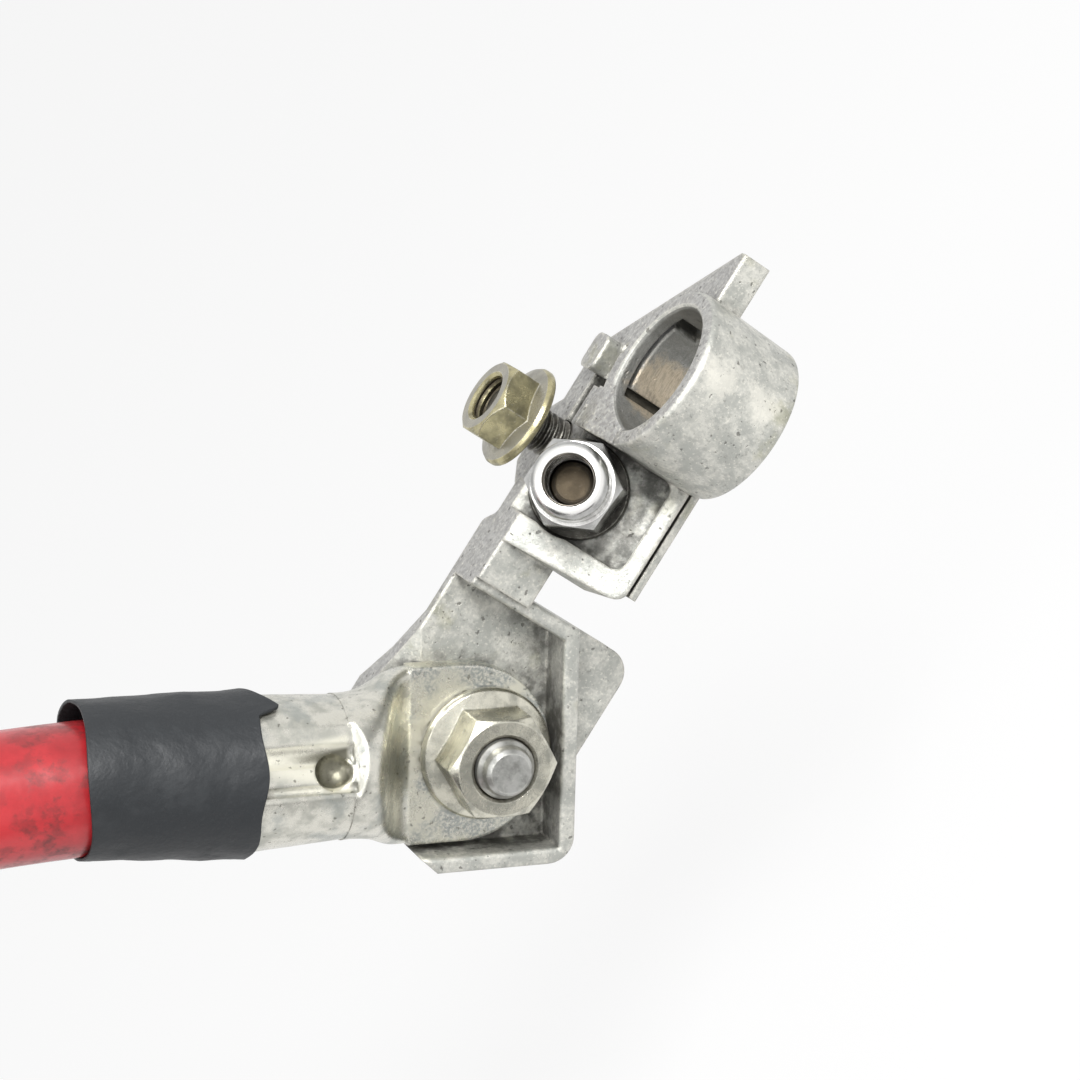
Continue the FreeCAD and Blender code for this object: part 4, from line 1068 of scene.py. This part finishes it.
@dataclass
class TapeWrap:
    """The tape round the lug's mouth and the cable: uneven turns, a gaping end and a pointed flap."""

    line: LugLine = field(default_factory=LugLine)
    lug_end: float = 33.2 * MM
    cable_end: float = 55.0 * MM
    lug_radius: float = 11.0 * MM
    cable_radius: float = 10.15 * MM
    lift: float = 0.95 * MM
    wall: float = 0.4 * MM
    flap_angle: float = 66.0
    flap_reach: float = 3.2 * MM
    flap_before: float = 7.0
    flap_after: float = 42.0
    slow_wave: float = 0.5 * MM
    quick_wave: float = 0.25 * MM
    cable_edge_wave: float = 0.35 * MM
    sides: int = 144
    steps: int = 44

    def edge_shift(self, angle: float) -> float:
        """How far the lug-side edge runs out at an angle: a slow wave and the pointed flap.

        Args:
            angle: The angle round the barrel, in degrees.

        Returns:
            The run, in metres.
        """
        wave = self.slow_wave * math.sin(math.radians(2 * angle + 20))
        wave += self.quick_wave * math.sin(math.radians(7 * angle))
        width = self.flap_before if angle < self.flap_angle else self.flap_after
        return wave + self.flap_reach * max(0.0, 1.0 - abs(angle - self.flap_angle) / width)

    def shape(self, piece: bpy.types.Object) -> None:
        """Moves the tube's points: ragged edges, slipped turns, folds and the gap at the cable.

        Args:
            piece: The tube, still about its own Z, with X to the front.
        """
        for point in piece.data.vertices:
            where = point.co
            share = max(0.0, (where.z - self.lug_end) / (self.cable_end - self.lug_end))
            angle = math.degrees(math.atan2(where.y, where.x))
            fold = noise.noise(Vector((where.x * 120, where.y * 120, where.z * 210)))
            crease = noise.noise(Vector((angle * 0.05, share * 3.0, 4.0)))
            step = 0.16 if (share * 2.3 + angle / 360.0) % 1.0 < 0.5 else 0.0
            swell = 1.0 + (0.022 * fold + 0.012 * crease) + step * 0.018
            edge = self.edge_shift(angle) * max(0.0, 1.0 - share * 3.2)
            ragged = self.cable_edge_wave * math.sin(math.radians(3 * angle + 40))
            ragged = ragged * max(0.0, share * 4.0 - 3.0)
            gape = self.lift * share ** 1.5
            point.co = Vector((where.x * swell, where.y * swell + gape, where.z - edge + ragged))

    def build(self) -> None:
        """Draws the wrap, shapes it and gives it its thickness."""
        rings = []
        for index in range(self.steps + 1):
            share = index / self.steps
            radius = self.lug_radius + (self.cable_radius - self.lug_radius) * share ** 0.8
            rings.append((self.lug_end + share * (self.cable_end - self.lug_end), radius))
        piece = Shaping.tube("tape_turns", rings, self.sides)
        self.shape(piece)
        Shaping.settle(piece, frame_place(self.line.spot(0.0), self.line.along, Vector((0, -1, 0))))
        wall = piece.modifiers.new("wall", "SOLIDIFY")
        wall.thickness = self.wall
        wall.offset = -1.0
        Shaping.finish_modifiers(piece)
        Shaping.smooth(piece, 50)
        TAPE.dress(piece)
        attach(piece, Body.CLAMP.value)
        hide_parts("tape_wrap")
        LOG.info("tape_turns has %d faces", len(piece.data.polygons))


@dataclass
class ClampScrew:
    """The clamp screw: rolled thread, square head and chamfered end."""

    axis: Point = in_metres(SCREW_AT)
    crest: float = 2.95 * MM
    root: float = 2.45 * MM
    pitch: float = 1.0 * MM
    head_across: float = 9.0 * MM
    head_low: float = -12.8 * MM
    head_top: float = -10.3 * MM
    top: float = 15.3 * MM
    core_below_root: float = 0.06 * MM
    core_into_head: float = 0.2 * MM
    chamfer_in: float = 0.5 * MM
    chamfer_up: float = 0.6 * MM
    head_corner: float = 0.5 * MM

    def thread(self) -> bpy.types.Object:
        """Winds one tooth of the thread up the axis.

        Returns:
            The thread's piece.
        """
        Shaping.clear()
        bpy.ops.mesh.primitive_plane_add(size=self.pitch, location=(0, 0, 0))
        piece = bpy.context.object
        piece.name = "screw_thread"
        mesh = bmesh.new()
        marks = [(self.root, 0.0), (self.crest, 0.38), (self.crest, 0.5),
                 (self.root, 0.88), (self.root, 1.0)]
        spots = [mesh.verts.new((r, 0, h * self.pitch)) for r, h in marks]
        for first, second in zip(spots, spots[1:]):
            mesh.edges.new((first, second))
        mesh.to_mesh(piece.data)
        mesh.free()
        wind = piece.modifiers.new("wind", "SCREW")
        wind.axis = "Z"
        wind.screw_offset = self.pitch
        wind.iterations = int((self.top - self.head_top) / self.pitch) - 1
        wind.steps = 40
        wind.render_steps = 40
        wind.use_merge_vertices = True
        wind.merge_threshold = 0.01 * MM
        Shaping.finish_modifiers(piece)
        Shaping.close(piece)
        Shaping.settle(piece, Matrix.Translation((0, 0, self.head_top)))
        return piece

    def core(self) -> bpy.types.Object:
        """The core under the thread, with its chamfered end.

        Returns:
            The core's piece.
        """
        Shaping.clear()
        core = self.root - self.core_below_root
        rings = [(self.head_top - self.core_into_head, core), (self.top - self.chamfer_up, core),
                 (self.top, core - self.chamfer_in)]
        piece = Shaping.tube("screw_core", rings, 48)
        Shaping.close(piece)
        return piece

    def head(self) -> bpy.types.Object:
        """The square head with softened corners.

        Returns:
            The head's piece.
        """
        Shaping.clear()
        middle = (self.head_low + self.head_top) / 2
        bpy.ops.mesh.primitive_cube_add(size=self.head_across, location=(0, 0, middle))
        piece = bpy.context.object
        piece.scale = (1, 1, (self.head_top - self.head_low) / self.head_across)
        bpy.ops.object.transform_apply(location=True, rotation=True, scale=True)
        soft = piece.modifiers.new("soft", "BEVEL")
        soft.width = self.head_corner
        soft.segments = 3
        Shaping.finish_modifiers(piece)
        return piece

    def build(self) -> None:
        """Joins thread, core and head and places them on the screw's axis."""
        thread, parts = self.thread(), [self.core(), self.head()]
        Shaping.clear()
        for part in parts + [thread]:
            part.select_set(True)
        bpy.context.view_layer.objects.active = thread
        bpy.ops.object.join()
        thread.name = "threaded_screw"
        Shaping.settle(thread, Matrix.Translation(Vector(self.axis)))
        Shaping.smooth(thread, 30)
        SCREW_STEEL.dress(thread)
        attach(thread, Body.SCREW.value)
        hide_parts("clamp_screw")
        LOG.info("threaded_screw has %d faces", len(thread.data.polygons))


@dataclass
class SlitShadePlug:
    """A dark plug in the slit of the ring's back wall: painted shade that keeps light from showing through
    the slit.
    """

    middle: Point = in_metres((-4.0, 10.15, -1.0))
    size: Point = in_metres((1.16, 1.0, 12.0))
    uneven: float = 0.16 * MM

    def build(self) -> None:
        """Fills the slit with an uneven dark plug that stands for the shade there, set back from the bore's
        wall.
        """
        Shaping.clear()
        bpy.ops.mesh.primitive_cube_add(size=1.0, location=(0, 0, 0))
        piece = bpy.context.object
        piece.name = "slit_shade_plug"
        piece.scale = self.size
        bpy.ops.object.transform_apply(location=False, rotation=False, scale=True)
        bpy.ops.object.mode_set(mode="EDIT")
        bpy.ops.mesh.select_all(action="SELECT")
        bpy.ops.mesh.subdivide(number_cuts=9)
        bpy.ops.object.mode_set(mode="OBJECT")
        for point in piece.data.vertices:
            swell = noise.noise(Vector(point.co) * 900)
            point.co.y += self.uneven * 2 * swell
        Shaping.settle(piece, Matrix.Translation(Vector(self.middle)))
        SLIT_SHADE_FILL.dress(piece)
        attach(piece, Body.CLAMP.value)
        LOG.info("slit_shade_plug has %d faces", len(piece.data.polygons))


@dataclass
class Castings:
    """The CAD pieces that keep their own shape and take their finish here."""

    finishes: dict[str, Finish] = field(default_factory=lambda: {
        "clamp_body": CASTING,
        "clamp_yoke": STEEL,
        "clamp_nut": YELLOW_ZINC,
        "accessory_stud": SMALL_STUD,
        "accessory_washer": DARK_WASHER,
        "sleeve_nut": BRIGHT_PLATE,
        "big_stud": BIG_STUD,
        "lug_nut": PALE_ZINC,
        "cable_lug": TINNED,
        "far_lug": FAR_TINNED,
        "lug_core": COPPER,
        "far_core": COPPER,
        "far_sleeve": SHRINK,
    })

    def build(self, nodes: dict[str, bpy.types.Object]) -> None:
        """Dresses each node.

        Args:
            nodes: The frame's nodes by name.
        """
        for name, finish in self.finishes.items():
            finish.dress(nodes[name])
            LOG.info("%s is dressed in %s", name, finish.name)


@dataclass
class Studio:
    """The floor, the lamps, the pale surroundings and the camera."""

    camera_at: Point = in_metres((-25.91, -389.78, 181.74))
    camera_right: Point = (0.52992, -0.34493, -0.77473)
    camera_up: Point = (0.84805, 0.21554, 0.48411)
    camera_angle: float = 18.0
    floor_drop: float = 4.0 * MM

    def camera(self) -> None:
        """Sets the camera where the photograph was taken, turned as the photograph is."""
        data = bpy.data.cameras.new("camera")
        data.sensor_width = 36.0
        data.angle = math.radians(self.camera_angle)
        data.clip_start = 0.01
        data.clip_end = 20.0
        thing = bpy.data.objects.new("camera", data)
        right, up = Vector(self.camera_right).normalized(), Vector(self.camera_up).normalized()
        turn = Matrix((right, up, right.cross(up))).transposed().to_4x4()
        thing.matrix_world = Matrix.Translation(Vector(self.camera_at)) @ turn
        bpy.context.scene.collection.objects.link(thing)
        bpy.context.scene.camera = thing

    def seen(self, graph: Graph) -> bpy.types.NodeSocket:
        """One where a ray comes from the camera, a reflection or a clear piece.

        Args:
            graph: The material's graph.

        Returns:
            A mask that is one for those rays.
        """
        path = graph.add("LightPath")
        total = graph.math("MAXIMUM", path.outputs[Ray.CAMERA.value], path.outputs[Ray.GLOSSY.value])
        return graph.math("MAXIMUM", total, path.outputs[Ray.TRANSMISSION.value])

    def world(self) -> None:
        """A pale surround that shows as white behind the object."""
        world = bpy.data.worlds.new("surround")
        world.use_nodes = True
        world.node_tree.nodes.clear()
        graph = Graph(world.node_tree)
        strength = graph.between(self.seen(graph), 0.42, 1.0)
        light = graph.add("Background", {"Color": (1.0, 1.0, 1.0), "Strength": strength})
        output = graph.add("OutputWorld")
        graph.feed(output.inputs["Surface"], light.outputs["Background"])
        bpy.context.scene.world = world

    def floor(self, lowest: float) -> None:
        """A wide pale floor under the object.

        Args:
            lowest: The object's lowest height.
        """
        Shaping.clear()
        bpy.ops.mesh.primitive_plane_add(size=6.0, location=(0, 0, lowest - self.floor_drop))
        plane = bpy.context.object
        plane.name = "floor"
        bpy.ops.object.transform_apply(location=True, rotation=True, scale=True)
        made, graph, surface = new_material("pale_floor")
        matte = graph.add("BsdfDiffuse", {"Color": (0.9, 0.9, 0.9)})
        glow = graph.add("Emission", {"Color": (1.0, 1.0, 1.0), "Strength": 1.0})
        share = graph.math("MULTIPLY", self.seen(graph), 0.85)
        both = graph.add("MixShader", {0: share, 1: matte.outputs[0], 2: glow.outputs[0]})
        graph.feed(surface, both.outputs[0])
        plane.data.materials.append(made)
        plane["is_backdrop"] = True

    def lamp(
        self, name: str, at: Point, size: float, power: float, aim: Point = (-0.04, 0.01, 0.0)
    ) -> None:
        """Hangs one soft square lamp.

        Args:
            name: The lamp's name.
            at: Where it hangs.
            size: The length of its side.
            power: Its power in watts.
            aim: The point that it faces.
        """
        data = bpy.data.lights.new(name, "AREA")
        data.shape = "SQUARE"
        data.size = size
        data.energy = power
        thing = bpy.data.objects.new(name, data)
        facing = (Vector(aim) - Vector(at)).to_track_quat("-Z", "Y")
        thing.matrix_world = Matrix.Translation(Vector(at)) @ facing.to_matrix().to_4x4()
        bpy.context.scene.collection.objects.link(thing)

    def card(self, name: str, at: Point, size: float, aim: Point = (-0.04, 0.01, 0.0)) -> None:
        """Stands one dark card beside the object, which only mirroring metal sees.

        Args:
            name: The card's name.
            at: Where its middle is.
            size: The length of its side.
            aim: The point that it faces.
        """
        Shaping.clear()
        bpy.ops.mesh.primitive_plane_add(size=size, location=(0, 0, 0))
        thing = bpy.context.object
        thing.name = name
        facing = (Vector(aim) - Vector(at)).to_track_quat("Z", "Y")
        Shaping.settle(thing, Matrix.Translation(Vector(at)) @ facing.to_matrix().to_4x4())
        thing.visible_camera = False
        thing.visible_shadow = False
        thing.visible_diffuse = False
        made, graph, surface = new_material(name)
        matte = graph.add("BsdfDiffuse", {"Color": (0.12, 0.12, 0.12)})
        graph.feed(surface, matte.outputs[0])
        thing.data.materials.append(made)
        thing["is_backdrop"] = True

    def build(self, lowest: float) -> None:
        """Sets up the whole studio.

        Args:
            lowest: The object's lowest height.
        """
        self.world()
        self.floor(lowest)
        self.lamp("key_lamp", (0.2, -0.42, 0.4), 0.22, 3.9)
        self.lamp("side_lamp", (-0.3, -0.35, 0.5), 0.3, 1.2)
        self.card("front_card", (-0.13, -0.2, -0.07), 0.17, (-0.13, -0.2, 0.3))
        self.card("left_card", (-0.42, -0.2, 0.1), 0.3)
        self.card("right_card", (0.3, -0.15, 0.0), 0.15)
        self.camera()
        bpy.context.scene.view_settings.view_transform = "Standard"
        LOG.info("studio is ready")


def corners(box: tuple[Vector, Vector]) -> list[list[float]]:
    """A box's two corners as plain lists of numbers."""
    return [[float(value) for value in corner] for corner in box]


def main() -> None:
    """Dresses the frame piece by piece and sets the studio round it."""
    logging.basicConfig(level=logging.INFO, format="%(message)s")
    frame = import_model()
    cad_box = corners(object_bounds())
    nodes = frame["nodes"]
    Castings().build(nodes)
    Cable().build(nodes)
    TapeWrap().build()
    ClampScrew().build()
    SlitShadePlug().build()
    Studio().build(cad_box[0][2])


if __name__ == "__main__":
    main()
